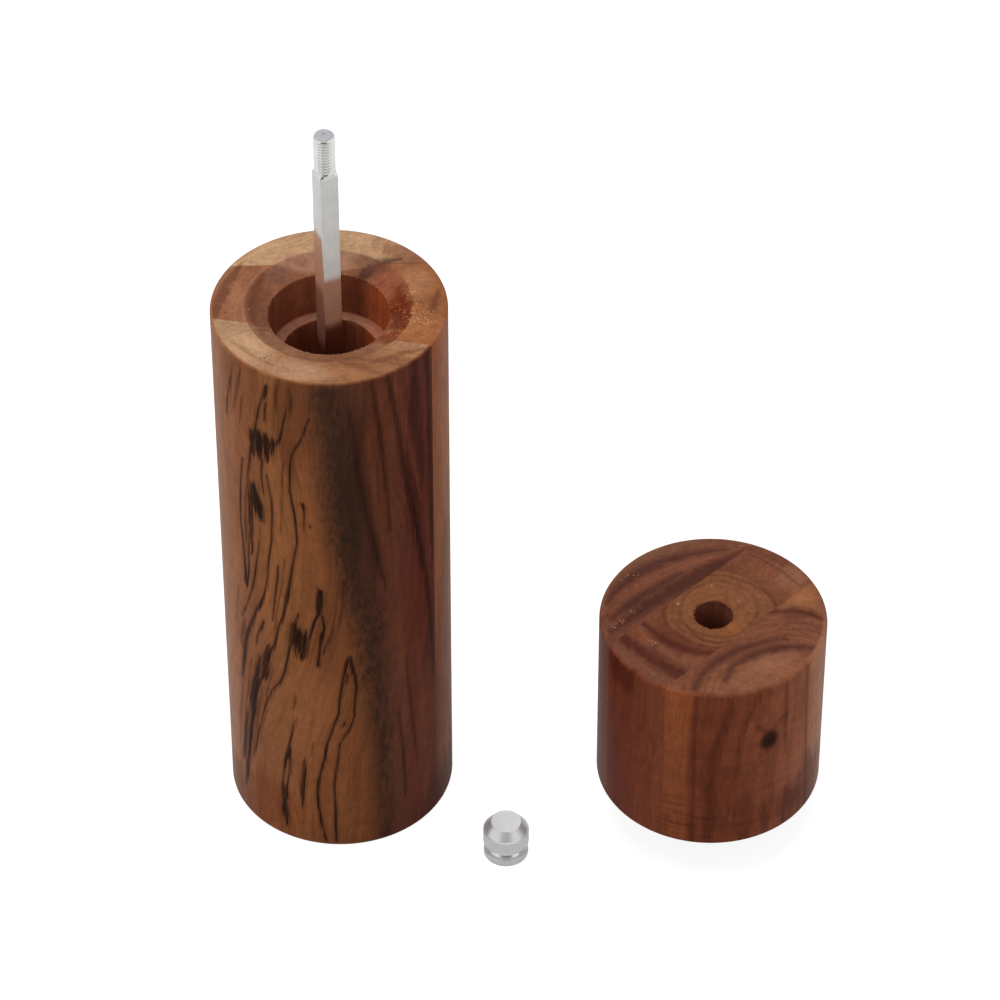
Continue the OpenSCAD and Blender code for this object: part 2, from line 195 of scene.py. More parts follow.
# %% Floor
FLOOR_SIZE = 4000
PAPER_GLOW = 0.86  # the share of the paper's white that no shadow darkens
PAPER_IN_METAL = 0.2  # the share of that glow that a reflection keeps

paper, add = new_finish("white_paper")
rays = add("LightPath", out=None)
seen = add("Math.MAXIMUM", rays["Is Camera Ray"], rays["Is Transmission Ray"])
seen = add("Math.MULTIPLY_ADD", rays["Is Glossy Ray"], PAPER_IN_METAL, seen, use_clamp=True)
lit = add("BsdfDiffuse", "#DADADA")
bright = add("AddShader", add("Emission", "#FFFFFF", PAPER_GLOW), add("BsdfDiffuse", "#A0A0A0"))
add("OutputMaterial", add("MixShader", seen, lit, bright), out=None)

half = FLOOR_SIZE / 2 * MM
floor_mesh = bpy.data.meshes.new("paper_floor")
floor_mesh.from_pydata(
    [(-half, -half, 0), (half, -half, 0), (half, half, 0), (-half, half, 0)], [], [(0, 1, 2, 3)]
)
floor_mesh.materials.append(paper)
floor = bpy.data.objects.new("paper_floor", floor_mesh)
scene.collection.objects.link(floor)

# %% World and lamps
ROOM_LIGHT = 0.42  # what the pale room gives by itself
DARK_SIDE = 0.12  # the unlit room behind the camera, as bright metal shows it
BEHIND_CAMERA = (0, -0.8, 0.6)

world = bpy.data.worlds.new("pale_room")
scene.world = world
world.use_nodes = True
world.node_tree.nodes.clear()
add = partial(add_to, world.node_tree)
rays = add("LightPath", out=None)
towards = add("VectorMath.DOT_PRODUCT", add("TexCoord", out="Generated"), BEHIND_CAMERA, out=1)
reflected = add("MapRange", towards, 0.8, 0.93, 1.0, DARK_SIDE, **SOFT_ENDS)
straight = add("Math.MAXIMUM", rays["Is Camera Ray"], rays["Is Transmission Ray"])
level = add("Mix", rays["Is Glossy Ray"], None, ROOM_LIGHT, reflected)
level = add("Mix", straight, None, level, 1.0)
add("OutputWorld", add("Background", "#FFFFFF", level), out=None)

for name, place, size, power in (
    ("overhead_box", (-250, 250, 1500), 1300, 16), ("front_box", (-500, -1300, 900), 900, 4),
):
    lamp_data = bpy.data.lights.new(name, "AREA")
    lamp_data.shape = "SQUARE"
    lamp_data.size = size * MM
    lamp_data.energy = power
    lamp = bpy.data.objects.new(name, lamp_data)
    scene.collection.objects.link(lamp)
    lamp.location = Vector(place) * MM
    lamp.rotation_euler = (-lamp.location).to_track_quat("-Z", "Y").to_euler()
    lamp.visible_glossy = False
scene.view_settings.view_transform = "Standard"

# %% [markdown]
# ## Turning wood
#
# A turner glues the boards, turns the whole blank on the lathe, and bores it. The scene does the
# same: an outline with eased corners is spun round the axis, and the blank is then cut at the glue
# lines into its boards. Bored edges in end grain always tear a little, so a corner of the outline
# can say how far its edge wanders.

# %% Outline, lathe and saw
AROUND = 480  # facets round the axis: 0.36 mm each on the outside
ARC_STEPS = 5  # facets of an eased corner


def eased(corners):
    """A closed outline of (radius, height, tear), with each corner's ease as an arc."""
    outline = []
    for i, (r, z, ease, tear) in enumerate(corners):
        here = Vector((r, z))
        if not ease:
            outline.append((r, z, tear))
            continue
        back = (Vector(corners[i - 1][:2]) - here).normalized()
        ahead = (Vector(corners[(i + 1) % len(corners)][:2]) - here).normalized()
        half = back.angle(ahead) / 2
        middle = here + (back + ahead).normalized() * ease / math.sin(half)
        start = here + back * ease / math.tan(half) - middle
        end = here + ahead * ease / math.tan(half) - middle
        for step in range(ARC_STEPS + 1):
            point = middle + start.slerp(end, step / ARC_STEPS) * ease
            outline.append((point.x, point.y, tear))
    return outline


def torn(angle, seed):
    """How far the fibres broke away here along a bored edge, from 0 to about 1."""
    place = Vector((math.cos(angle), math.sin(angle), 0))
    broad = noise.noise(place * 3 + Vector((0, 0, seed)))
    fine = noise.noise(place * 34 + Vector((0, 0, seed)))
    return max(0.0, 0.35 + 0.5 * broad + 0.9 * fine)


def ring_of(mesh, axis, z, around, reach):
    """A ring of points round an axis, where reach gives the radius at each angle."""
    ring = []
    for k in range(around):
        angle = 2 * math.pi * k / around
        r = reach(angle)
        place = axis + Vector((r * math.cos(angle), r * math.sin(angle), z))
        ring.append(mesh.verts.new(place * MM))
    return ring


def skinned(mesh, rings):
    """Faces between each ring and the next. A ring of one point is the end of a solid."""
    for lower, upper in zip(rings, rings[1:]):
        for k in range(max(len(lower), len(upper))):
            corners = dict.fromkeys(
                ring[i % len(ring)]
                for ring, i in ((lower, k), (lower, k + 1), (upper, k + 1), (upper, k))
            )
            if len(corners) > 2:
                mesh.faces.new(corners)


def turned(outline, axis, around=AROUND):
    """A mesh in metres: an outline of (radius, height, tear), anticlockwise, spun round an axis."""
    mesh = bmesh.new()
    rings = []
    for r, z, tear in outline:
        points = around if r else 1  # a ring of radius 0 is one point on the axis
        rings.append(ring_of(mesh, axis, z, points, lambda angle: r + tear * torn(angle, round(r))))
    skinned(mesh, rings + rings[:1])
    return mesh


def sawn(blank, axis, cuts):
    """A copy of a blank between glue lines, each (distance behind the axis, angle, keeps back)."""
    board = blank.copy()
    for distance, angle, keeps_back in cuts:
        turn = math.radians(angle)
        back = Vector((-math.sin(turn), math.cos(turn), 0))
        cut = bmesh.ops.bisect_plane(
            board, geom=board.verts[:] + board.edges[:] + board.faces[:], dist=1e-7,
            plane_co=(axis + back * distance) * MM, plane_no=back,
            clear_outer=not keeps_back, clear_inner=keeps_back,
        )
        rim = [edge for edge in cut["geom_cut"] if isinstance(edge, bmesh.types.BMEdge)]
        facing = -back if keeps_back else back
        bmesh.ops.triangle_fill(board, use_beauty=True, edges=rim, normal=facing)
    bmesh.ops.recalc_face_normals(board, faces=board.faces[:])
    return board


def plain_mesh(mesh, name):
    """A mesh under construction as plain mesh data. Mesh data stays as it is."""
    if not isinstance(mesh, bmesh.types.BMesh):
        return mesh
    data = bpy.data.meshes.new(name)
    mesh.to_mesh(data)
    mesh.free()
    return data


def piece(mesh, name, material, body, slot, *nodes, crease=32):
    """Makes an object of a mesh, with its finish, its body and the CAD solids it stands for."""
    data = plain_mesh(mesh, name)
    data.shade_smooth()
    data.set_sharp_from_angle(angle=math.radians(crease))
    data.materials.clear()
    data.materials.append(material)
    made = bpy.data.objects.new(name, data)
    scene.collection.objects.link(made)
    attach(made, body)
    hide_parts(*nodes)
    print(name, len(data.polygons), "faces")
    return made


def three_boards(blank, axis, glue, part, body, woods):
    """Saws a blank at its two glue lines, and makes its front, middle and back board."""
    front, back = glue
    cuts = ([(*front, False)], [(*front, True), (*back, False)], [(*back, True)])
    for board, cut, wood in zip(("front", "middle", "back"), cuts, woods):
        node = f"{part}_{board}_board"
        piece(sawn(blank, axis, cut), "turned_" + node, wood, body, f"{part}_{board}_wood", node)
    blank.free()


# %% [markdown]
# ## Marks that follow the grain
#
# Streaks, growth lines and the black lines of spalting follow no rule, so they are drawn as
# strokes. A stroke is a few points, each with its place and its width, and it runs mostly one
# way: down a side, or across a top. So its middle and its width are curves over that way, and one
# curves node holds many strokes, as long as they don't lie beside each other. Sliding the lookup by
# the fibre noise makes the ink bleed along the fibres, which gives the ragged teeth of real wood.
#
# Each mark is drawn with what the board knows of itself: its noises and its coordinates.

# %% Strokes to curves, and curves to marks
def in_lanes(strokes, gap):
    """The strokes, packed into as few lanes as a simple first fit gives."""
    lanes = []
    for stroke in sorted(strokes, key=lambda points: -points[0][1]):
        for lane in lanes:
            if lane[-1][-1][1] > stroke[0][1] + gap:
                lane.append(stroke)
                break
        else:
            lanes.append([stroke])
    return lanes


def marked(add, colour, wood, strokes, code, across, along, span, reach, soft, strength, teeth,
           lift, halo=None, patchy=0.25, by="teeth"):
    """Draws strokes of (across, along, width), each from its far end down, over a colour.

    Span and reach are the ends of along and across. Soft is the width of the edge, teeth how far a
    fibre carries the ink, lift how long an end fades, halo the colour and the reach of the stain
    beside the ink, patchy how far the ink thins in places, and by the noise that shapes the edge:
    teeth for ink in the fibres, mottle for mould in patches.
    """
    shaping = getattr(wood, by)
    waver = add("MapRange", shaping, *NOISE, 0.6, 1.4)
    length, breadth = span[1] - span[0], reach[1] - reach[0]
    widest = max(width for stroke in strokes for _, _, width in stroke) / 2
    off = -soft - (halo[1] if halo else 0) - 1.0  # the width of a stroke where there is none
    share = add("MapRange", shaken(add, along, shaping, 5 * teeth), *span)
    share = add("CombineColor", share, share, 0.0)
    deepest = None
    for lane in in_lanes(strokes, 2 * lift + 1.5):
        middles, widths = [], []
        for stroke in reversed(lane):
            widths.append((stroke[-1][1] - lift, off))
            for place, height, width in reversed(stroke):
                middles.append((height, (place - reach[0]) / breadth))
                widths.append((height, width / 2))
            widths.append((stroke[0][1] + lift, off))
        widths = [(height, (width - off) / (widest - off)) for height, width in widths]
        curves = [
            [(min(max((height - span[0]) / length, 0.0), 1.0), value) for height, value in points]
            for points in (middles, widths)
        ]
        drawn = add("SeparateColor", add("RGBCurve", 1.0, share, curves=curves), out=None)
        middle = add("Math.MULTIPLY_ADD", drawn[0], breadth, reach[0])
        half_width = add("Math.MULTIPLY_ADD", drawn[1], widest - off, off)
        half_width = add("Math.MULTIPLY", half_width, waver)
        away = add("Math.ABSOLUTE", add("Math.SUBTRACT", across, middle))
        inside = add("Math.SUBTRACT", half_width, away)
        deepest = add("Math.MAXIMUM", deepest, inside) if deepest else inside
    if halo:
        stain = add("MapRange", deepest, -halo[1] - soft, 0.0, 0.0, 0.45, **SOFT_ENDS)
        colour = add("Mix", stain, named={6: colour, 7: halo[0]}, **LAYER)
    ink = add("MapRange", deepest, -soft, 0.8 * soft, 0.0, strength, **SOFT_ENDS)
    ink = add("Math.MULTIPLY", ink, add("MapRange", shaping, 0.35, 0.6, 1.0 - patchy, 1.0))
    return add("Mix", ink, named={6: colour, 7: code}, **LAYER)


def drawn_on_top(add, colour, wood, layers, lift):
    """Draws strokes of (x, y, width) on a top, in layers.

    A layer has its strokes, the angle of the line that they run along, colour, strength and soft.
    """
    for strokes, angle, code, strength, soft in layers:
        c, s = math.cos(math.radians(angle)), math.sin(math.radians(angle))
        leaning = [
            sorted(((y * c - x * s, x * c + y * s, w) for x, y, w in stroke), key=lambda p: -p[1])
            for stroke in strokes
        ]
        across = add("VectorMath.DOT_PRODUCT", wood.flat, (-s, c, 0), out=1)
        along = add("VectorMath.DOT_PRODUCT", wood.flat, (c, s, 0), out=1)
        look = (across, along, TOP_SPAN, TOP_SPAN, soft, strength, 0.6, lift)
        colour = marked(add, colour, wood, leaning, code, *look, by="streak")
    return colour


def blotted(add, colour, place, wood, blots, mask=None):
    """Lays soft patches over a colour.

    A patch is (x, y, half length, half width, angle, colour, strength).
    """
    for x, y, length, width, angle, code, strength in blots:
        local = add(
            "Mapping", place, (x, y, 0), (0, 0, math.radians(angle)), (length, width, 1),
            vector_type="TEXTURE",
        )
        far = shaken(add, add("VectorMath.LENGTH", local, out=1), wood.streak, 1.2)
        patch = add("MapRange", far, 1.2, 0.5, 0.0, strength, **SOFT_ENDS)
        if mask:
            patch = add("Math.MULTIPLY", patch, mask)
        colour = add("Mix", patch, named={6: colour, 7: code}, **LAYER)
    return colour


def flecked(add, colour, place, spots, code, size, strength):
    """Scatters torn fibres of one colour and size round spots of (x, y, radius)."""
    near = None
    for x, y, radius in spots:
        away = add("VectorMath.DISTANCE", place, (x, y, 0), out=1)
        part = add("MapRange", away, radius, 0.5 * radius)
        near = add("Math.MAXIMUM", near, part) if near else part
    cells = add("TexVoronoi", place, named={"Scale": 1 / (2.2 * size)}, out=None)
    uneven = add("MapRange", add("SeparateColor", cells["Color"]), 0.0, 1.0, 0.08, 0.5)
    fleck = add("Math.SUBTRACT", uneven, cells["Distance"])
    fleck = add("MapRange", fleck, -0.06, 0.1, 0.0, strength)
    fleck = add("Math.MULTIPLY", fleck, near)
    return add("Mix", fleck, named={6: colour, 7: code}, **LAYER)


def degrees_at(add, wood, points):
    """An angle in degrees that changes with the height, as some points of (height, angle) say."""
    share = add("CombineColor", add("Math.DIVIDE", wood.z, wood.tall), 0.0, 0.0)
    curve = [(height / wood.tall, angle / 180 + 0.5) for height, angle in points]
    drawn = add("SeparateColor", add("RGBCurve", 1.0, share, curves=[curve]))
    return add("Math.MULTIPLY_ADD", drawn, 180.0, -90.0)


# %% [markdown]
# ## The finish of oiled acacia
#
# Wood is a bundle of fibres that run up the tree, in layers round its pith. So each board has its
# own pith line, somewhere beside or inside it, and its end grain is coloured by the distance from
# that line. A round side cuts through the layers lengthwise and shows them as upright streaks, and
# these are given by the angle round the axis. Long thin noise makes the fibres, and stretched
# cells make the pores: dots where they are cut across, dashes where they are cut along.

# %% Oiled board
RING_REACH = 60  # mm from the pith that a ring ramp covers
OIL_GLOSS = 0.02  # thin oil shines far less than varnish where it is seen straight on
DEGREE = 180 / math.pi
TOP_SPAN = (-30, 30)  # mm each way from the axis that strokes on a top may cover
SIDE_REACH = (-90, 90)  # degrees round the axis that strokes on a side may cover
WOOD_NOISES = [  # name, what bends it, changes per mm along x, y and z, detail, roughness
    ("fibre", "bent", (2.4, 2.4, 0.07), 4, 0.62),  # threads 0.4 mm wide
    ("teeth", "seeded", (3.6, 3.6, 0.1), 2, 0.5),  # where ink bleeds, 0.25 mm wide
    ("streak", "bent", (0.38, 0.38, 0.014), 3, 0.55),  # lighter and darker wood, 3 mm wide
    ("mottle", "still", (0.8, 0.8, 0.34), 5, 0.65),
    ("curl", "bent", (0.09, 0.09, 0.42), 3, 0.5),  # waves of the grain that cross the fibres
]


def oiled_board(name, whole, pith, rings, strips, behind=False, side=None, top=None, rim=0.8,
                rim_wear_and_highlight="#9C6440", twist=None, ripple=0.06, seed=0):
    """Oiled acacia: satin, with a thin film of oil that brightens at grazing angles.

    Whole is the axis and the height of what the board is part of. Side and top draw this board's
    own marks over its strips and its rings, twist is how far the grain winds round the axis at
    some heights, and ripple how strongly it curls.
    """
    material, add = new_finish(name)
    axis, tall = whole
    to_mm = ((-axis.x, -axis.y, 0), None, (1 / MM, 1 / MM, 1 / MM))
    place = add("Mapping", add("TexCoord", out="Object"), *to_mm)
    x, y, z = add("SeparateXYZ", place, out=None)
    wood = SimpleNamespace(z=z, tall=tall)

    # A slow drift bends the fibres by up to 3 mm over 60 mm, as they bend in the tree
    own_place = (seed * 31.0, seed * 17.0, 0)
    wound = place
    if twist:
        wind = add("Math.DIVIDE", degrees_at(add, wood, twist), DEGREE)
        wound = add("VectorRotate", place, named={"Angle": wind}, rotation_type="Z_AXIS")
    seeded = add("VectorMath.ADD", wound, own_place)
    slowly = add("VectorMath.MULTIPLY", seeded, (0.05, 0.05, 0.016))
    drift = add("TexNoise", slowly, named={"Scale": 1, "Detail": 2}, out=None)
    wood.slow = drift["Fac"]
    swing = add("VectorMath.SUBTRACT", drift["Color"], (0.5, 0.5, 0.5))
    bases = {
        "seeded": seeded,
        "bent": add("VectorMath.MULTIPLY_ADD", swing, (14, 14, 0), seeded),
        "still": add("VectorMath.ADD", place, own_place),
    }
    for layer, base, pace, detail, roughness in WOOD_NOISES:
        stretched = add("VectorMath.MULTIPLY", bases[base], pace)
        look = {"Scale": 1, "Detail": detail, "Roughness": roughness}
        setattr(wood, layer, add("TexNoise", stretched, named=look))

    # End grain: the distance from the pith, pushed about a little by the drift
    wood.flat = add("VectorMath.MULTIPLY", place, (1, 1, 0))
    wood.radius = add("VectorMath.LENGTH", wood.flat, out=1)
    ring = add("VectorMath.DISTANCE", wood.flat, (*pith, 0), out=1)
    ring = shaken(add, shaken(add, ring, wood.slow, 5.0), wood.fibre, 0.8)
    stops = [(distance / RING_REACH, code) for distance, code in rings]
    ends = add("ValToRGB", add("Math.DIVIDE", ring, RING_REACH), stops=stops)
    layers = {"W": ring, "Scale": 1.1, "Detail": 3, "Roughness": 0.7}
    growth = add("TexNoise", named=layers, noise_dimensions="1D")
    ends = add("VectorMath.SCALE", ends, None, None, add("MapRange", growth, *NOISE, 0.87, 1.12))
    if top:
        ends = top(add, ends, wood)

    # Sides: the angle round the axis, in degrees from the front, or from the back
    across = add("Math.MULTIPLY", x, -1.0 if behind else 1.0)
    ahead = add("Math.MULTIPLY", y, 1.0 if behind else -1.0)
    turn = add("Math.MULTIPLY", add("Math.ARCTAN2", across, ahead), DEGREE)
    wavy = shaken(add, shaken(add, turn, wood.slow, 12.0), wood.fibre, 2.5)
    sides = None
    for start, end, colours in strips:
        stops = [((at - start) / (end - start), code) for at, code in colours]
        strip = add("ValToRGB", add("MapRange", wavy, start, end), stops=stops)
        if sides:
            past = add("Math.GREATER_THAN", turn, start)
            strip = add("Mix", past, named={6: sides, 7: strip}, **LAYER)
        sides = strip
    if side:
        wood.turn = turn
        wood.unrolled = add("CombineXYZ", turn, z, 0.0)
        wood.down = (turn, z, (0, tall), SIDE_REACH)
        sides = side(add, sides, wood)

    # Which of the two this point shows: the outside is where the radius is nearly full
    outside = add("MapRange", wood.radius, wood_r - 0.9 * rim, wood_r - 0.25 * rim, **SOFT_ENDS)
    colour = add("Mix", outside, named={6: ends, 7: sides}, **LAYER)

    # Fibres, streaks, curl, mottling and pores over both
    tone = add("MapRange", wood.fibre, 0.25, 0.75, 0.79, 1.19)
    for layer, low, high in (
        ("streak", 0.84, 1.14), ("mottle", 0.88, 1.1), ("curl", 1 - ripple, 1 + ripple),
    ):
        part = add("MapRange", getattr(wood, layer), *NOISE, low, high)
        tone = add("Math.MULTIPLY", tone, part)
    cells = add("VectorMath.MULTIPLY", bases["bent"], (1.15, 1.15, 0.16))
    pore = add("MapRange", add("TexVoronoi", cells, named={"Scale": 1}), 0.06, 0.2, 1.0, 0.0)
    pore = add("Math.MULTIPLY", pore, add("MapRange", wood.mottle, 0.45, 0.6, 0.3, 1.0))
    tone = add("Math.MULTIPLY", tone, add("Math.MULTIPLY_ADD", pore, -0.42, 1.0))
    colour = add("VectorMath.SCALE", colour, None, None, tone)

    # A paler band is painted along the outer edge all round: a painted highlight of the rounded
    # rim, together with oil worn off by handling
    rising = add("MapRange", wood.radius, wood_r - 1.0 * rim, wood_r - 0.45 * rim)
    falling = add("MapRange", wood.radius, wood_r - 0.05 * rim, wood_r - 0.3 * rim)
    edge = add("Math.MULTIPLY", rising, falling)
    edge = add("Math.MULTIPLY", edge, add("MapRange", wood.streak, 0.35, 0.6, 0.1, 0.45))
    colour = add("Mix", edge, named={6: colour, 7: rim_wear_and_highlight}, **LAYER)

    height = add("Math.MULTIPLY_ADD", pore, -0.8, wood.fibre)
    skin = {
        "Base Color": colour,
        "Roughness": add("MapRange", wood.fibre, *NOISE, 0.3, 0.44),
        "IOR": 1.47,
        "Specular IOR Level": OIL_GLOSS,
        "Normal": add("Bump", named={"Strength": 0.5, "Distance": 0.04 * MM, "Height": height}),
    }
    add("OutputMaterial", add("BsdfPrincipled", named=skin), out=None)
    return material


# %% [markdown]
# ## The spalted front board
#
# The front board of the body is spalted: a fungus grew in the log and left thin dark lines that
# wander down the golden sapwood. To their right, mould has darkened a wide band, and beyond it
# lies the red heartwood with its dark streaks. The places are read off the round side, as degrees
# from the front and millimetres above the table.

# %% Black lines of the spalting, as (degrees from the front, height, width in degrees)
BLACK_LINES = [
    [(-30.1, 149.3, 1.8), (-31.1, 146.5, 2), (-32.9, 143.8, 1.4), (-35.3, 140.5, 0.8),
     (-38.1, 133.5, 0.9), (-40, 130, 2), (-42, 124, 1.2), (-44.4, 117, 1), (-44.3, 112, 1),
     (-43.8, 107, 1.5), (-44.3, 102, 1.2), (-43.1, 93.5, 1.3), (-44.6, 91.5, 0.5)],
    [(-30.6, 144, 0.7), (-31.6, 141, 0.8), (-32.1, 137.5, 0.4)],
    [(-19.1, 144.5, 0.5), (-21.2, 140, 0.8), (-23.8, 134, 0.9), (-25.9, 131.5, 1.8),
     (-28.5, 130, 2.6)],
    [(-40.8, 133, 1), (-40.4, 130, 3.2), (-40, 127, 2.6), (-39.8, 124.5, 0.6)],
    [(-27.6, 133.5, 0.8), (-27.9, 130.6, 3.8), (-28.3, 129, 2.4), (-28.8, 127, 0.6)],
    [(-34.2, 125, 0.9), (-35.1, 122, 0.8), (-35.1, 118, 0.8), (-34.2, 114, 0.5)],
    [(-43.3, 116, 0.6), (-42.6, 111, 1.4), (-42.5, 105, 1.2), (-42.8, 98, 0.6)],
    [(-32.1, 121, 0.7), (-29.8, 113, 0.9), (-29.8, 109, 0.9), (-30.6, 100, 0.9), (-32.7, 94, 0.9),
     (-34.8, 84.5, 1.1), (-36.8, 80.5, 1.2), (-39.4, 77, 2.2), (-42.6, 73.5, 1.4), (-48.8, 65, 3),
     (-51.4, 61, 1), (-53.5, 57, 0.5)],
    [(-8.4, 141.8, 0.6), (-10.3, 139.5, 0.9), (-11.8, 136.5, 0.8), (-15, 133, 0.8),
     (-17.6, 130, 0.9), (-18.9, 126.5, 0.9), (-19.4, 122.5, 1), (-19.4, 118, 1), (-17.4, 110, 1.2),
     (-16.7, 102, 1), (-18.6, 96.5, 1.1), (-20.7, 90, 1.6), (-21.7, 87, 1.6), (-23.3, 83, 2.4),
     (-24.6, 79.5, 1.5), (-25.9, 76, 1.6), (-28.5, 72.5, 1.2), (-31.6, 65.5, 1.3),
     (-35.6, 60.5, 2.5), (-36.3, 57, 1.8), (-37.9, 54, 2.8), (-40, 51.5, 1.8), (-41.9, 51, 3),
     (-45, 46, 3.4), (-47.6, 38, 3), (-49.9, 33, 1.4), (-51.3, 28.5, 2), (-53.6, 21, 1.4),
     (-55.4, 16, 3), (-57, 11.5, 2), (-58, 8, 0.4)],
    [(-17.5, 79, 0.8), (-19.1, 76, 0.9), (-20.2, 72.5, 1.2), (-21.7, 72, 1), (-23.8, 64, 1),
     (-25, 60.5, 1.2), (-26.4, 57, 1.8), (-29, 53.5, 1.1), (-34, 49.5, 0.9), (-38.7, 43.5, 0.7),
     (-40.3, 40.2, 0.7), (-45, 30, 0.5)],
    [(-13.8, 74, 0.7), (-14.4, 71, 1.6), (-15.2, 68, 1.2), (-15.6, 66, 0.6)],
    [(-19.5, 68, 1.2), (-19.6, 63.5, 0.4)],
    [(-6.1, 88.5, 1.7), (-6.3, 86, 3.2), (-6.6, 83, 3.2), (-7.1, 79.5, 2), (-9.2, 77.5, 1.4),
     (-12.4, 71, 1), (-15.3, 65, 0.5)],
    [(-5.6, 79.5, 1.1), (-5.1, 78, 1.1), (-4.5, 75, 1), (-6.1, 72, 2.6), (-6.8, 69, 1.2),
     (-7.7, 65, 1.2), (-8.4, 62, 1.4)],
    [(-2.5, 72, 0.5), (-4, 69, 0.7), (-5.6, 66.5, 0.4)],
    [(7.8, 65.8, 0.9), (5.9, 63, 2.2), (4.6, 59.5, 1.1), (3.3, 56, 1), (1.9, 51, 1), (1.4, 46.5, 1),
     (-0.7, 43.5, 1.1), (-2.8, 39.5, 1.1), (-5.4, 35, 1.2), (-6.4, 30.5, 1.4), (-8.5, 26, 1.2),
     (-10, 22, 1.8), (-10.8, 18, 1.4), (-10.6, 14, 1.1), (-8.5, 5.5, 1.1), (-6.9, 1, 1)],
    [(8, 65.8, 0.9), (8.5, 62, 2.2), (10, 58.5, 1.8), (10.6, 55, 1.2), (9.4, 49, 1), (9.2, 45, 1.1),
     (7.1, 41.5, 1), (4, 38.5, 1), (1.4, 35.5, 1), (0.4, 31, 1.1), (-1.2, 26, 1), (-2.2, 21, 1.1),
     (-1.7, 12, 1.2), (-1.9, 7, 1.7), (-1.7, 1, 1.1)],
    [(4.4, 43.6, 0.7), (4, 42.5, 0.9), (3.6, 41.4, 0.5)],
    [(6.2, 60.5, 0.4), (5.9, 58, 0.8), (5.6, 56, 0.4)],
    [(-21, 42.5, 0.5), (-22.6, 40, 0.9), (-24.1, 35.5, 0.9), (-25.2, 32.5, 1.4), (-25.7, 30, 3),
     (-27.8, 27, 1.4), (-28.8, 23, 0.9), (-29.9, 19, 0.9), (-29.9, 14, 0.9)],
    [(-24.7, 29, 1.5), (-25.4, 24, 0.9), (-26.7, 20, 0.9), (-27.8, 17, 0.9), (-27.8, 13, 0.7)],
    [(-17.1, 29.5, 0.6), (-17.4, 25, 2.2), (-18.2, 20, 2.6), (-18.6, 16, 1.8), (-18.9, 12, 0.5)],
    [(-47.5, 122, 0.8), (-49.5, 115, 1), (-50.9, 107, 1), (-51.2, 100, 1), (-49.5, 89.5, 1.1),
     (-49.3, 84.5, 1.8), (-48.8, 81.5, 3), (-48.6, 79.5, 1)],
    [(-45.2, 99, 0.7), (-46.2, 89, 0.9), (-46.9, 84.5, 1.2), (-48.3, 81, 1)],
    [(-38.4, 97, 0.5), (-41, 89.5, 0.8), (-44.6, 80.5, 0.8), (-47.3, 76.5, 0.8),
     (-54.5, 67.5, 0.5)],
    [(-27.5, 93, 0.6), (-28, 89, 1), (-30.4, 80.5, 0.9), (-32, 73, 0.4)],
    [(-37.4, 72.5, 0.8), (-39.4, 69, 1.6), (-42, 66, 1.1), (-43.6, 62.5, 0.4)],
    [(-42.4, 36, 0.7), (-44.5, 32, 1.6), (-47.6, 25, 1), (-49.7, 21.5, 0.4)],
    [(-13.5, 115.3, 1.2), (-13.4, 114.5, 2.6), (-12.6, 112, 0.7), (-12.9, 108.5, 0.7),
     (-13.4, 105, 0.4)],
    [(-9.8, 108.8, 0.7), (-9.9, 107.4, 0.7)],
]
BLOTCHES = [
    [(-20.4, 75.5, 1.5), (-19, 73, 5.5), (-17.5, 69.8, 8.5), (-16.8, 66.6, 6.5),
     (-15.8, 63.5, 1.5)],
    [(-43, 54, 1), (-45.6, 48.5, 4), (-47.6, 42, 5), (-49, 35, 1.6), (-51.5, 29, 1.6),
     (-54, 20, 1)],
    [(-40.6, 60, 0.8), (-43, 54.5, 2.4), (-46, 47, 2), (-48.5, 41, 0.6)],
    [(-34.8, 65, 0.8), (-36.8, 61, 3), (-38.6, 56.5, 2.6), (-40.5, 52, 0.8)],
    [(-50, 63, 0.8), (-52.5, 58, 2.4), (-54.5, 52, 1.6), (-56.5, 46, 0.6)],
    [(-53, 36, 0.6), (-55, 30, 2), (-57, 23, 1.6), (-58.5, 17, 0.6)],
    [(-36.4, 134.8, 1), (-36, 131, 6.4), (-35.8, 128, 5), (-35.4, 124.5, 1)],
    [(-32, 134, 1), (-31.2, 130.5, 6), (-31.2, 128, 4), (-31, 125, 0.8)],
    [(-41, 116.5, 1.4), (-40.2, 113, 5), (-39, 110, 7.6), (-37.8, 107.3, 5.6),
     (-36.4, 104.5, 1.4)],
    [(-29.5, 18, 1), (-29, 15.5, 3.4), (-29.3, 12, 2.2), (-29.3, 9, 3.8), (-28.3, 4, 1)],
]
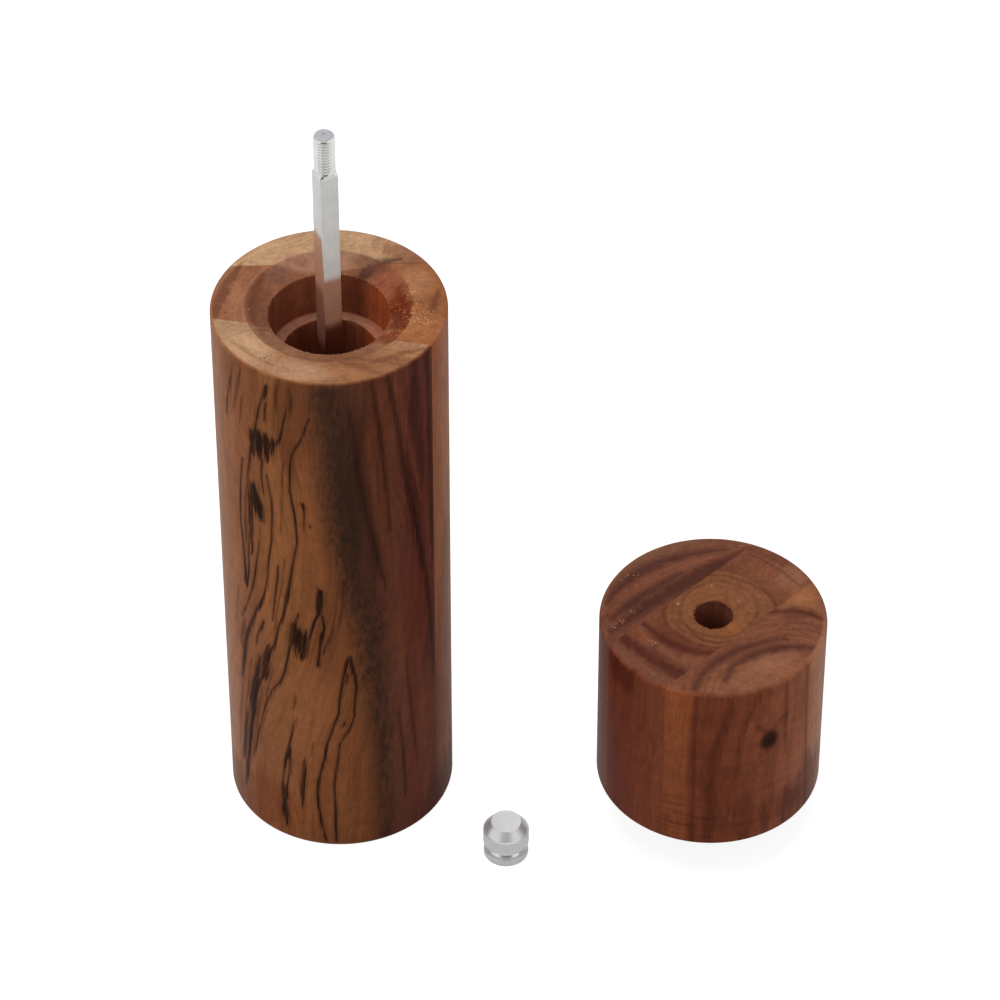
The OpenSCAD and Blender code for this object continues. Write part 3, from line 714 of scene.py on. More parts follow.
FAINT_LINES = [
    [(-52, 149, 1), (-55, 143.5, 2), (-58, 137, 2.4), (-60.5, 131, 1.2)],
    [(-46, 150, 0.9), (-48.5, 145, 1.9), (-51, 140, 1.6), (-53, 135, 0.8)],
    [(-45.8, 141.5, 0.8), (-47, 137.5, 1.6), (-48, 133, 0.9)],
    [(-24, 150.5, 0.9), (-25, 146, 1.1), (-25.5, 142, 0.6)],
    [(-18.2, 150.5, 1), (-17.4, 147, 1.5), (-18, 143, 1)],
    [(-22.5, 127, 0.6), (-23.6, 120, 0.9), (-24.2, 112, 0.8), (-25, 104, 0.6)],
    [(-46, 114, 1), (-46.8, 108, 2.2), (-47.3, 101, 2), (-47.6, 94, 1)],
    [(-37.5, 102, 0.7), (-39, 95, 1), (-41.5, 87, 1), (-44, 80, 0.7)],
    [(-23.5, 96, 0.6), (-25.5, 88, 0.9), (-28.5, 79, 0.9), (-31, 71, 0.6)],
    [(2.8, 87.5, 0.6), (1.7, 82, 0.8), (-0.9, 74, 0.8), (-2.5, 70, 0.5)],
    [(5.8, 88, 0.6), (4.4, 82, 0.8), (2.6, 76, 0.6)],
    [(-51.5, 68.5, 1), (-53, 65, 4), (-54.3, 61, 5.5), (-56, 57.5, 2)],
    [(-56, 78, 0.6), (-58, 71, 1.1), (-60.5, 63, 0.8)],
    [(-47.5, 57, 0.6), (-50, 50, 1), (-52, 44, 1), (-55, 35, 1), (-57.5, 26, 0.8), (-59, 18, 0.5)],
    [(-44, 56, 0.6), (-46.4, 50, 0.9), (-49.8, 42, 1.1), (-52.5, 34, 1), (-55.5, 25, 1.1),
     (-57, 18, 0.6)],
    [(-51, 62, 0.6), (-53.5, 55, 0.9), (-56, 48, 0.9), (-58.5, 40, 0.7), (-61, 31, 0.5)],
    [(-40.5, 47, 0.6), (-43, 41, 0.9), (-45.5, 35, 0.8), (-48.5, 27, 0.7), (-50.5, 19, 0.5)],
    [(-55, 46, 0.5), (-58, 38, 0.8), (-60.5, 30, 0.8), (-62.5, 22, 0.6)],
    [(-49.7, 47.5, 0.9), (-52.8, 42, 1.1), (-55.4, 32, 1.1), (-59, 21, 1.1), (-60.1, 16, 0.6)],
    [(-59.6, 37, 0.9), (-62.7, 30, 0.7)],
    [(-37.5, 42, 0.5), (-41, 36, 0.7), (-43.5, 29, 0.5)],
    [(-33, 58, 0.6), (-35.5, 52, 0.9), (-38.5, 46, 0.6)],
    [(-20.6, 51, 0.5), (-21.2, 48.5, 0.9), (-22, 46.5, 0.5)],
    [(-12, 36, 0.5), (-12.6, 33, 0.8), (-13.4, 30, 0.4)],
]
print("black lines, blotches, faint lines:", len(BLACK_LINES), len(BLOTCHES), len(FAINT_LINES))

# %% Mould, heartwood streaks and the edge of the sapwood
GOLD_EDGE = [  # height, degrees
    (2, 20), (19, 20.5), (36, 18.5), (52, 16), (66, 13.5), (77, 9), (86, 4), (102, -1.5), (119, -5),
    (135, -7), (152, -12),
]
MOULD = [
    [(1, 151, 12), (3, 140, 14), (6, 120, 16), (9.5, 102, 16), (14, 86, 16), (19, 69, 15),
     (22, 52, 12), (24, 36, 10), (25, 19, 9), (25, 2, 8)],
]
# Patches over the gold: the wood's tones, and the last one painted shade at the foot
SIDE_TONES_AND_FOOT_SHADE = [
    (-18, 138, 15, 22, 0, "#613620", 0.6), (-45, 148, 16, 12, 0, "#7A4A30", 0.35),
    (-40, 8, 30, 12, 0, "#7A3A20", 0.5), (-32, 88, 9, 26, 0, "#9A6238", 0.4),
    (-4, 72, 7, 16, 0, "#6A3E26", 0.6), (-20, 70, 7, 16, 0, "#86552F", 0.4),
    (-10, 45, 14, 20, 0, "#9C6440", 0.3), (-52, 40, 10, 26, 0, "#8A4C30", 0.35),
    (-74, 3, 22, 12, 0, "#704630", 0.55),
]
# Patches over the red: the wood's tones, and the last one painted shade at the foot
RED_TONES_AND_FOOT_SHADE = [
    (30, 38, 11, 36, 0, "#764632", 0.65), (50, 28, 12, 30, 0, "#743C28", 0.6),
    (47, 124, 8, 34, 0, "#42201B", 0.75), (19, 116, 9, 30, 0, "#3E2218", 0.6),
    (56, 66, 6, 22, 0, "#50261A", 0.5), (26, 128, 10, 26, 0, "#6E3C28", 0.45),
    (10, 118, 8, 30, 0, "#472A1E", 0.4), (60, 2, 15, 12, 0, "#4C251B", 0.5),
]
DARK_STREAKS = [
    [(30, 152, 2), (33, 143, 2.6), (36.5, 130, 2.8), (40.5, 114, 3), (45, 103, 2.6), (49, 92, 3),
     (53, 80, 3), (56, 68, 3), (57.5, 56, 2.4), (57.8, 48, 1)],
    [(55, 152, 4.5), (56.5, 140, 4.5), (57.5, 120, 4.5), (58, 100, 4), (58.5, 85, 2)],
    [(22, 152, 1.8), (24.5, 140, 2.4), (27, 128, 2.2), (28.5, 115, 1.8), (30, 105, 1)],
    [(11, 142, 2), (14, 126, 2.6), (17.5, 111, 2.6), (22, 98, 2.2), (26, 88, 1.4)],
    [(38, 60, 0.8), (40, 46, 1.2), (42, 34, 1.2), (44, 24, 0.8)],
    [(33, 42, 1.2), (35, 30, 1.8), (36, 15, 1.4)],
]
PALE_STREAKS = [
    [(34.5, 150, 1.6), (39, 138, 2.6), (44, 124, 2.8), (49, 110, 2.4), (52, 99, 1.4)],
    [(19, 135, 1.6), (21.5, 122, 2.4), (24, 110, 2), (27, 98, 1.2)],
    [(33, 72, 2), (37, 60, 2.8), (40, 50, 1.4)],
    [(46, 62, 2), (48, 42, 3.4), (50, 22, 3), (50, 8, 2)],
]
RED_STOPS = [(0, "#5A3626"), (0.3, "#5E3426"), (0.5, "#6A3A2B"), (0.75, "#643228"), (1, "#6C3626")]
SPALTED_LAYERS = [  # strokes, colour, soft, strength, teeth, lift, halo, patchy, by
    (PALE_STREAKS, "#804630", 2.5, 0.5, 3, 8, None, 0.5, "teeth"),
    (DARK_STREAKS, "#2A110D", 1.8, 0.75, 2, 8, None, 0.3, "teeth"),
    (MOULD, "#36251C", 10, 0.92, 1.5, 10, None, 0.6, "mottle"),
    (FAINT_LINES, "#3C1E14", 1.1, 0.74, 1.4, 0.7, None, 0.45, "teeth"),
    (BLOTCHES, "#22100C", 1.4, 0.95, 1.3, 0.7, ("#5A341F", 2.6), 0.05, "teeth"),
    (BLACK_LINES, "#1F0E0B", 0.5, 0.95, 0.9, 0.7, ("#5E3822", 1.4), 0.4, "teeth"),
]


def spalted_side(add, colour, wood):
    """The bands and the lines of the spalted board."""
    wander = shaken(add, shaken(add, wood.turn, wood.mottle, 7.0), wood.streak, 16.0)
    past = add("Math.SUBTRACT", wander, degrees_at(add, wood, GOLD_EDGE))
    is_red = add("MapRange", past, -6.0, 11.0, **SOFT_ENDS)
    red = add("ValToRGB", add("MapRange", wood.turn, 5.0, 62.0), stops=RED_STOPS)
    # Each list of patches ends with painted shade at the foot
    red = blotted(add, red, wood.unrolled, wood, RED_TONES_AND_FOOT_SHADE)
    colour = blotted(add, colour, wood.unrolled, wood, SIDE_TONES_AND_FOOT_SHADE)
    colour = add("Mix", is_red, named={6: colour, 7: red}, **LAYER)
    for strokes, code, *look in SPALTED_LAYERS:
        colour = marked(add, colour, wood, strokes, code, *wood.down, *look)
    return colour


# %% [markdown]
# ## Marks on the tops
#
# Seen from above, each board shows the ends of its fibres, and its growth lines as arcs. The arcs
# of the ramp are the same all round, so what differs from place to place is laid over them as
# strokes, soft patches and pale torn fibres, in millimetres from the axis. Some patches are painted
# shade, in the dish and the bores, and painted light on the right wall of the body's bore.

# %% Marks on the body's top
DISH_R = 19.5
LEDGE_BORE_R = 14.0
LEDGE_MIDDLE = 12.4  # the radius at the middle of the ledge that the head sits on
BODY_STROKES = [
    ([
        [(-21, 14.2, 1.4), (-23.2, 9, 2.6), (-25, 4, 2.6), (-26, 0, 2.4), (-26.2, -4, 1.4)],
        [(-15.5, 11, 1), (-17.3, 6, 2), (-18, 0, 2.4), (-17.2, -5, 1.4)],
        [(25, 5, 0.8), (24.3, 1, 2), (23.8, -3, 1.2)],
    ], 90, "#5E3328", 0.75, 1.0),
    ([
        [(16.5, 16.2, 0.8), (12.5, 15.4, 2.2), (9, 13.8, 3), (6, 12, 2.6), (3, 10.6, 1.2)],
    ], 0, "#402622", 0.85, 1.0),
    ([
        [(14, -24.5, 0.8), (9.5, -22.3, 1.6), (6, -20.5, 1.6), (3, -19.6, 0.6)],
        [(23, -14.8, 0.8), (18, -16.6, 2.4), (14, -18.3, 2.6), (10.5, -19.6, 1)],
        [(-22, -12.5, 0.3), (-17, -17.5, 0.5), (-12, -21, 0.3)],
    ], -35, "#704530", 0.65, 1.0),
]
BODY_BLOTS = [
    (18, 18, 8, 3.6, -14, "#784730", 0.75), (24.5, 12, 2.6, 4, 20, "#8E5436", 0.5),
    (-12, 12, 4, 2.6, 35, "#6A4744", 0.5), (-4, 17.2, 8, 2.4, 0, "#A5745C", 0.5),
    (21, -9, 6, 5, 40, "#A3683F", 0.4), (-18, -15.5, 8, 5, -40, "#C09C78", 0.5),
    (-7, -22.5, 9, 4, -12, "#B48E6E", 0.65), (20, 8, 5, 6, 0, "#AC7858", 0.6),
    (-22, 5, 2, 7, 10, "#A37350", 0.4), (25, 3, 3, 6, 0, "#96603E", 0.5),
    (14, 22, 6, 3, -30, "#A0745A", 0.5),
]
# Patches in the dish: the wood's own colours, and on the right slope dark red patches that are
# partly torn end grain and partly painted shade, with the red of painted bounce light
DISH_BLOTS_AND_SHADE = [
    (14.5, 9.5, 5, 5.5, 30, "#90503A", 0.75), (-12.5, -11, 5, 4, -45, "#7A5038", 0.5),
    (16.8, -2, 3.4, 8.5, 4, "#5E2110", 0.85), (15, -11, 3, 4, 40, "#74381A", 0.75),
    (16, 3, 2.6, 5, 0, "#66260E", 0.55), (-15.5, 0, 3, 9, 0, "#6C412E", 0.5),
    (-5, 17, 11, 3.5, 0, "#B0806A", 0.6), (10, 16, 5, 3, -30, "#6E4838", 0.5),
    (14.5, -10, 3, 4, 40, "#7A3E24", 0.4), (-4, 17, 8, 2, 0, "#946A56", 0.6),
    (-12, 12.5, 4, 3, 42, "#80584A", 0.4),
]
# Patches on the bore's walls: painted shade on the left and back walls, painted light on the right
# wall
BORE_WALL_LIGHT_AND_SHADE = [
    (-11, 2, 8, 13, 0, "#884A32", 0.6), (11.5, 3, 5, 11, 0, "#C45E30", 0.8),
    (0, 13, 8, 4, 0, "#7E3E28", 0.6),
]
TORN_SPOTS = [
    ([(16.5, -1, 4.2), (16, -8, 3.2)], "#B0602E", 0.42, 0.75),
    ([(21, -2, 6.5), (20, 6, 3)], "#7C4A30", 0.5, 0.65),
    ([(21.5, -4, 5.5), (19.6, 5, 3)], "#C08A60", 0.36, 0.55),
    ([(19.6, 5, 1.8), (20.3, -5.2, 2.4), (21.5, -6.5, 1.6), (19.8, 1, 1.4), (-18.2, -1, 0.7),
      (25.5, -8, 1.4)], "#C6966C", 0.28, 0.65),
    ([(-14, -17.5, 1.8), (-12.6, -19.4, 1.8), (-9.5, -22, 1.5)], "#6E3A28", 0.32, 0.65),
]


def body_top_marks(add, colour, wood):
    """What the body's top shows beyond its growth rings, with the dish and the bore."""
    in_bore = add("MapRange", wood.radius, LEDGE_BORE_R + 0.3, LEDGE_BORE_R - 0.1)
    in_dish = add("MapRange", wood.radius, DISH_R + 0.15, DISH_R - 0.25)
    in_dish = add("Math.SUBTRACT", in_dish, in_bore, use_clamp=True)
    colour = blotted(add, colour, wood.flat, wood, BODY_BLOTS)
    # The dish is painted darker all over: painted shade in the shallow recess
    painted_dish_shade = add("Math.MULTIPLY", in_dish, 0.55)
    colour = add("Mix", painted_dish_shade, named={6: colour, 7: "#7A4E38"}, **LAYER)
    colour = drawn_on_top(add, colour, wood, BODY_STROKES, lift=2)
    # Patches in the dish, the dark red ones on the right slope partly painted shade
    colour = blotted(add, colour, wood.flat, wood, DISH_BLOTS_AND_SHADE, in_dish)
    for spots, code, size, strength in TORN_SPOTS:
        colour = flecked(add, colour, wood.flat, spots, code, size, strength)
    # The bore is painted darker and redder: bare bored wood, with painted shade in the hole
    colour = add("Mix", in_bore, named={6: colour, 7: "#8E5038"}, **LAYER)
    colour = blotted(add, colour, wood.flat, wood, BORE_WALL_LIGHT_AND_SHADE, in_bore)
    off_middle = add("Math.ABSOLUTE", add("Math.SUBTRACT", wood.radius, LEDGE_MIDDLE))
    on_ledge = add("MapRange", off_middle, 1.5, 1.1, 0.0, 0.85)
    return add("Mix", on_ledge, named={6: colour, 7: "#A8745C"}, **LAYER)


# %% Marks on the head's top
HEAD_STROKES = {
    "back": [
        ([
            [(9.5, 23, 1), (4, 18.8, 3), (-0.5, 15.6, 4.4), (-5.5, 11.9, 4.2), (-10, 8.2, 3.8),
             (-15, 3.8, 3.2), (-20, -1.2, 2.2), (-25, -6, 1)],
            [(-7, 14.8, 0.8), (-11, 11.6, 1.6), (-16, 7.6, 2), (-20.5, 3.2, 1.8), (-25, -1.5, 1)],
            [(4, 22.8, 0.8), (-2, 21.6, 1.6), (-7, 20.4, 2.2), (-13, 18, 2.8), (-18, 14.5, 2.4),
             (-22.5, 9.5, 1.6), (-25.5, 4, 0.8)],
        ], 40, "#40221F", 0.8, 1.7),
    ],
    "middle": [
        ([
            [(-26, -3, 2), (-21, -9, 3), (-17, -13, 3.2), (-12.5, -17.3, 3.4), (-8, -20.6, 3.4),
             (-4, -23.5, 3)],
            [(-19, 0, 0.8), (-15, -5.5, 1.9), (-12, -8.6, 2), (-8, -11.4, 1.8), (-3.5, -13, 1.6),
             (1, -13.4, 1.5), (4, -13.4, 1)],
        ], -32, "#431C18", 0.8, 1.4),
        ([
            [(-6.8, -3, 0.4), (-5.5, -6, 0.8), (-3, -8.6, 0.9), (1, -9.7, 0.7), (5, -8.6, 0.5)],
        ], -5, "#55301F", 0.6, 0.4),
        ([
            [(-1, 13.7, 0.4), (3.5, 13.5, 0.6), (9, 11, 0.7), (13.3, 7.4, 0.8), (15.2, 3.4, 0.5)],
            [(9, 21.5, 0.5), (13.5, 18.3, 0.7), (17.5, 14.5, 0.8), (21.5, 9.8, 0.5)],
        ], -40, "#5A3326", 0.6, 0.5),
        ([
            [(4.3, 9.6, 0.2), (3.4, 7.6, 0.3), (3.8, 5.8, 0.35), (3.1, 4.2, 0.4)],
        ], 90, "#7A2E20", 0.6, 0.3),
    ],
    "front": [
        ([
            [(2.1, -22.5, 0.8), (4.4, -17, 1.2), (10.2, -12.9, 2), (15.2, -11.3, 2.2),
             (21.5, -10.9, 1.5), (25, -11.4, 1)],
            [(-5.4, -25.5, 0.8), (-3.5, -20.3, 1.6), (0.9, -15.3, 1.8), (6.5, -11.5, 1.4),
             (12.7, -9, 1), (17.7, -8.2, 0.5)],
        ], 40, "#40221F", 0.8, 1.6),
        ([
            [(11.5, 0.2, 1.4), (14.4, 1, 1.6), (19, 1.7, 1.8), (23.4, 0.5, 1.8),
             (26.3, -1.5, 1.2)],
        ], -32, "#431C18", 0.8, 1.4),
        ([
            [(9, -5.5, 0.4), (15, -3, 0.7), (21, -2.8, 0.7), (26, -4, 0.4)],
            [(10, -7.5, 0.4), (16, -5, 0.7), (22, -4.9, 0.7), (26, -6.2, 0.4)],
            [(13, -7.6, 0.4), (18, -6.8, 0.6), (25, -8, 0.4)],
        ], 0, "#63392C", 0.55, 0.5),
    ],
}
HEAD_BLOTS = [
    (3, -4, 4.5, 3.5, 0, "#96582F", 0.4), (22, 6.8, 3.4, 4.2, 0, "#97623F", 0.55),
    (14, -16, 7.5, 3, 24, "#93624A", 0.55), (-18, -8, 3.6, 2.6, -45, "#80482E", 0.5),
    (-10, -9, 7, 5, -40, "#5C3024", 0.45), (-5, 19, 8, 1.6, 20, "#82503A", 0.45),
    (-17, 11, 8, 1.3, 42, "#7E4A36", 0.4), (10, 10, 8, 8, 0, "#84523A", 0.35),
    (20, 13.5, 6, 4, 50, "#8E6048", 0.7), (2.5, -20, 2, 4, -20, "#6A4032", 0.5),
    (-18, 3, 4, 3, 40, "#523029", 0.4), (20.5, 0, 5, 1.6, -5, "#5C3830", 0.5),
]
HEAD_FLECKS = [
    (-0.3, 9.7, 1), (9.5, 8.5, 0.7), (-8, 3.5, 1), (7.3, -0.5, 0.7), (6.5, 4.5, 0.7),
    (7.5, 24, 0.9), (-15, -9.5, 1.5), (-24, -4, 1.3), (-22.3, -2.3, 1.2), (-19.5, 1, 0.9),
    (-17.5, 2.5, 0.8), (-18.5, 14, 1), (-20.3, 13.3, 1.1), (-22, 12, 0.9),
]
HEAD_BORE_R = 4.5


def head_top_marks(add, colour, wood, board):
    """What the top of this board of the head shows beyond its growth rings."""
    colour = blotted(add, colour, wood.flat, wood, HEAD_BLOTS)
    colour = drawn_on_top(add, colour, wood, HEAD_STROKES[board], lift=1.6)
    colour = flecked(add, colour, wood.flat, HEAD_FLECKS, "#C89C7C", 0.2, 0.6)
    # The bore's edge and wall are painted darker: bored wood, with painted shade in the hole
    in_bore = add("MapRange", wood.radius, HEAD_BORE_R + 0.45, HEAD_BORE_R + 0.1, 0.0, 0.8)
    return add("Mix", in_bore, named={6: colour, 7: "#764234"}, **LAYER)


# %% Marks on the head's side
HEAD_SIDE_DARK = [
    [(9, 63, 2.6), (7, 58, 3.2), (4, 52, 3.8), (0.5, 46, 4.6), (-1.5, 41, 4.6), (-2.5, 36, 5),
     (-2, 30, 5.4), (-1, 22, 5.4), (-2, 13, 5)],
    [(22, 63, 2.6), (19, 58, 2.8), (15.5, 53, 2.4), (13, 48, 2), (12, 40, 1.4), (11.5, 30, 1.4),
     (11, 16, 1.4)],
    [(26.5, 24, 1), (27, 20, 3.6), (27.5, 17, 3.6), (28, 13.5, 1)],
]
HEAD_SIDE_LINES = [
    [(-10.6, 63, 1), (-10.4, 50, 1.1), (-10.1, 35, 1.3), (-9.9, 20, 1.3), (-9.8, 12, 1)],
    [(53.5, 63, 1.3), (54, 50, 1.6), (55, 38, 1.6), (57, 25, 1.6), (58, 12, 1.6)],
    [(38, 61, 0.7), (38.6, 50, 0.9), (39.4, 38, 0.7)],
]
# Patches on the head's side: the wood's tones, and the dark ones low down at 43, 54 and 72 degrees
# are painted shade near the head's lower edge
HEAD_SIDE_BLOTS_AND_SHADE = [
    (-57, 60, 12, 7, 0, "#501A10", 0.6), (24, 49.4, 5, 1.6, -25, "#552A1C", 0.5),
    (35, 49.4, 6, 1.8, 15, "#5C2E22", 0.5), (28.6, 45, 6, 4, 0, "#5E301F", 0.55),
    (45, 45, 12, 14, 0, "#8E5238", 0.4), (40, 20, 18, 5, 0, "#6E3424", 0.35),
    (54, 20, 16, 12, 0, "#5C3024", 0.65), (16, 20, 9, 9, 0, "#5A2C1E", 0.4),
    (72, 17, 15, 12, 0, "#784A38", 0.6), (43, 18, 7, 9, 0, "#5C3026", 0.4),
]
KNOT = (28.6, 45.0, 4.6, 2.7)  # angle, height, half width in degrees, half height


def head_side_marks(add, colour, wood):
    """The swirl, the streaks and the knot of the head's side."""
    # Patches first, the dark ones low on the right painted shade
    colour = blotted(add, colour, wood.unrolled, wood, HEAD_SIDE_BLOTS_AND_SHADE)
    low = add("MapRange", wood.z, 30.0, 24.0, 0.0, 0.8)
    for edge in ((-30.0, -24.0), (6.0, -2.0)):
        low = add("Math.MULTIPLY", low, add("MapRange", wood.turn, *edge))
    wave = add("VectorMath.MULTIPLY", wood.unrolled, (0.05, 0.75, 0))
    wave = add("TexNoise", wave, named={"Scale": 1, "Detail": 2})
    wave = add("Math.MULTIPLY", add("MapRange", wave, 0.42, 0.66, 0.0, 0.6), low)
    colour = add("Mix", wave, named={6: colour, 7: "#5A2A1A"}, **LAYER)
    for strokes, code, *look in (
        (HEAD_SIDE_DARK, "#401D14", 2.8, 0.55, 2, 3, None, 0.4),
        (HEAD_SIDE_LINES, "#401E16", 1.8, 0.6, 1.5, 3),
    ):
        colour = marked(add, colour, wood, strokes, code, *wood.down, *look)
    angle, height, half_width, half_height = KNOT
    knot = add(
        "Mapping", wood.unrolled, (angle, height, 0), None, (half_width, half_height, 1),
        vector_type="TEXTURE",
    )
    knot = shaken(add, add("VectorMath.LENGTH", knot, out=1), wood.fibre, 0.5)
    knot = add("MapRange", knot, 1.5, 0.6, 0.0, 0.88, **SOFT_ENDS)
    return add("Mix", knot, named={6: colour, 7: "#2A150F"}, **LAYER)


# %% Shade on the body's plain side
SIDE_SHADE = [[(75, 90, 6), (72, 66, 14), (70, 40, 30), (70, 10, 40), (70, 0, 44)]]
FOOT_SHADE = (74, 2, 28, 15, 0, "#44241A", 0.55)


def plain_side(add, colour, wood):
    """Painted shade on the right side of the middle board, deepening towards the foot."""
    colour = blotted(add, colour, wood.unrolled, wood, [FOOT_SHADE])
    look = {"soft": 9, "strength": 0.45, "teeth": 2, "lift": 10, "patchy": 0.3}
    return marked(add, colour, wood, SIDE_SHADE, "#3C160A", *wood.down, **look)


# %% [markdown]
# ## The boards of the body
#
# Three boards, each with its own pith, rings and marks. The outline is the half section of the
# body, from the foot up the outside, over the rim, down the dish, and down through the ledge for
# the head, the pepper chamber and the recess for the grinder.

# %% Finishes of the body
BODY = (body_axis, body_top)
BODY_TWIST = [(0, 34), (30, 28), (60, 12), (80, 4), (105, -2), (125, 0), (152, -6)]
BODY_WOODS = (
    oiled_board(
        "spalted_acacia_oiled", BODY, pith=(6, -58), seed=1, twist=BODY_TWIST,
        side=spalted_side, top=body_top_marks,
        rings=[
            (0, "#8A5C44"), (30, "#8A5C3E"), (36, "#9E6C4B"), (40, "#84573D"), (43, "#9A6A4A"),
            (48, "#A67C5E"), (60, "#A98465"),
        ],
        strips=[
            (-85, 65, [(-85, "#A0715A"), (-65, "#9E6A4A"), (-45, "#90593A"), (-25, "#905B37"),
                (-10, "#8A5332"), (5, "#7E4B2C"), (65, "#6A3C26")]),
        ],
    ),
    oiled_board(
        "acacia_heartwood_oiled", BODY, pith=(19, -8), seed=2, side=plain_side, top=body_top_marks,
        rings=[
            (0, "#9C6644"), (6, "#935C3A"), (12, "#87532F"), (22, "#8F5B3B"), (32, "#8C5A40"),
            (38, "#956448"), (43, "#8C5A42"), (46, "#986849"), (60, "#94644A"),
        ],
        strips=[
            (-130, -75, [(-130, "#8A5C42"), (-100, "#936247"), (-75, "#986850")]),
            (55, 130, [(55, "#8A4E30"), (64, "#A0603E"), (72, "#A86A48"), (80, "#9C6040"),
                (95, "#8E573A"), (130, "#80492F")]),
        ],
    ),
    oiled_board(
        "acacia_sapwood_oiled", BODY, pith=(18, -34), seed=3, behind=True, top=body_top_marks,
        rings=[
            (0, "#8D5E48"), (43, "#95674B"), (46, "#A87E5E"), (50, "#B08968"), (54, "#B48D6B"),
            (60, "#B48E6C"),
        ],
        strips=[
            (-65, 65, [(-65, "#8A5A40"), (-30, "#A67C5C"), (-5, "#B08662"), (20, "#A67C5C"),
                (40, "#94684C"), (65, "#986C4E")]),
        ],
    ),
)

# %% Turn and saw the body
DISH_DEPTH = 2.6
LEDGE_DEPTH = 13.7
CHAMBER_R = 10.8
RECESS_R = 17.1
BAR_RECESS_R = 21.8
BAR_RECESS_TOP = 8.0
BODY_RIM = 0.8
BODY_GLUE = ((-9.3, -10.3), (14.7, 1.9))  # how far behind the axis, and at what angle

ledge = body_top - LEDGE_DEPTH
dish_foot = body_top - DISH_DEPTH
bridge_top = heights_of("guide_bridge")[1]
body_outline = eased([  # radius, height, ease, tear
    (BAR_RECESS_R, body_foot, 0.2, 0),
    (wood_r, body_foot, 0.5, 0),
    (wood_r, body_top, BODY_RIM, 0),
    (DISH_R, body_top, 0.25, 0.18),
    (LEDGE_BORE_R, dish_foot, 0.2, 0.35),
    (LEDGE_BORE_R, dish_foot - 1.6, 0, 0),
    (LEDGE_BORE_R, ledge, 0.1, 0),
    (CHAMBER_R, ledge, 0.15, 0.55),
    (CHAMBER_R, ledge - 1.5, 0, 0),
    (CHAMBER_R, bridge_top, 0.15, 0),
    (RECESS_R, bridge_top, 0.1, 0),
    (RECESS_R, BAR_RECESS_TOP, 0.1, 0),
    (BAR_RECESS_R, BAR_RECESS_TOP, 0.1, 0),
])
body_blank = turned(body_outline, body_axis)
three_boards(body_blank, body_axis, BODY_GLUE, "body", "mill_body", BODY_WOODS)

# %% [markdown]
# ## The boards of the head
#
# The head is turned the same way, from three boards at a slant. Its foot is a short tenon that
# drops into the ledge of the body, and a bore lets the shaft through.

# %% Finishes of the head
HEAD = (head_axis, head_top)
HEAD_ROUND = 1.5
# The head's rounded rim gets a paler painted highlight along its outer edge
HEAD_LOOK = {"rim": HEAD_ROUND, "rim_wear_and_highlight": "#8C5A46"}
HEAD_WOODS = (
    oiled_board(
        "acacia_head_front_oiled", HEAD, pith=(12, -28), seed=4, ripple=0.1, side=head_side_marks,
        top=partial(head_top_marks, board="front"), **HEAD_LOOK,
        rings=[
            (0, "#88573E"), (12, "#85543C"), (18, "#744533"), (22, "#7C4C37"), (27.5, "#744634"),
            (31, "#85553A"), (60, "#8A583C"),
        ],
        strips=[
            (-30, 120, [(-30, "#8A4A2C"), (-24.5, "#8A4B2E"), (-13, "#8C4C2E"), (-10.5, "#703825"),
                (-6, "#753C28"), (5, "#753C28"), (12, "#7A412B"), (25, "#80462F"), (45, "#94583E"),
                (54, "#985C42"), (62, "#AC7254"), (75, "#B27A5E"), (95, "#8A543C"),
                (120, "#7A4A35")]),
        ],
    ),
    oiled_board(
        "acacia_head_middle_oiled", HEAD, pith=(1.5, 2), seed=5, side=head_side_marks,
        top=partial(head_top_marks, board="middle"), **HEAD_LOOK,
        rings=[
            (0, "#7E4E33"), (8.8, "#7E4F34"), (9.5, "#6C422D"), (10.3, "#7C4D33"),
            (12.8, "#784A31"), (13.5, "#643A2B"), (14.5, "#70422D"), (18, "#764733"),
            (20.6, "#7C4D38"), (21.2, "#6C4030"), (24, "#744634"), (28, "#724736"),
            (60, "#6C4333"),
        ],
        strips=[
            (-70, -25, [(-70, "#6E3624"), (-60, "#6C3222"), (-45, "#743A26"), (-34, "#7A402A"),
                (-25, "#784028")]),
            (110, 160, [(110, "#7A4A36"), (130, "#683828"), (160, "#7A4A36")]),
        ],
    ),
    oiled_board(
        "acacia_head_back_oiled", HEAD, pith=(15, -25), seed=6, behind=True,
        top=partial(head_top_marks, board="back"), **HEAD_LOOK,
        rings=[
            (0, "#784936"), (44, "#6E4232"), (47, "#784834"), (52, "#704534"), (56, "#75503A"),
            (60, "#744D3B"),
        ],
        strips=[
            (-30, 120, [(-30, "#7A4C38"), (0, "#80563F"), (30, "#6B4234"), (60, "#84503A"),
                (90, "#6E4232"), (120, "#7A4C38")]),
        ],
    ),
)

# %% Turn and saw the head
TENON_R = 13.7
TENON_L = 12.0
PLATE_POCKET_R = 10.6
HEAD_GLUE = ((-9.0, 44.5), (10.2, 44.5))

plate_top = heights_of("drive_plate")[1]
head_outline = eased([
    (PLATE_POCKET_R, head_foot, 0.1, 0),
    (TENON_R, head_foot, 0.4, 0),
    (TENON_R, TENON_L, 0.1, 0),
    (wood_r, TENON_L, 0.5, 0),
    (wood_r, head_top, HEAD_ROUND, 0),
    (HEAD_BORE_R, head_top, 0.2, 0.75),
    (HEAD_BORE_R, head_top - 1.4, 0, 0),
    (HEAD_BORE_R, plate_top, 0.15, 0),
    (PLATE_POCKET_R, plate_top, 0.05, 0),
])
three_boards(turned(head_outline, head_axis), head_axis, HEAD_GLUE, "head", "head", HEAD_WOODS)

# %% [markdown]
# ## Ridges: one tree for the thread and for the knurl
#
# A screw thread and a straight knurl are the same thing to a lathe: ridges cut in a round bar. A
# point's place among the ridges depends on its angle and on its height. With one ridge that climbs
# 0.8 mm a turn the result is an M5 thread, and with 44 ridges that don't climb it is a knurl.

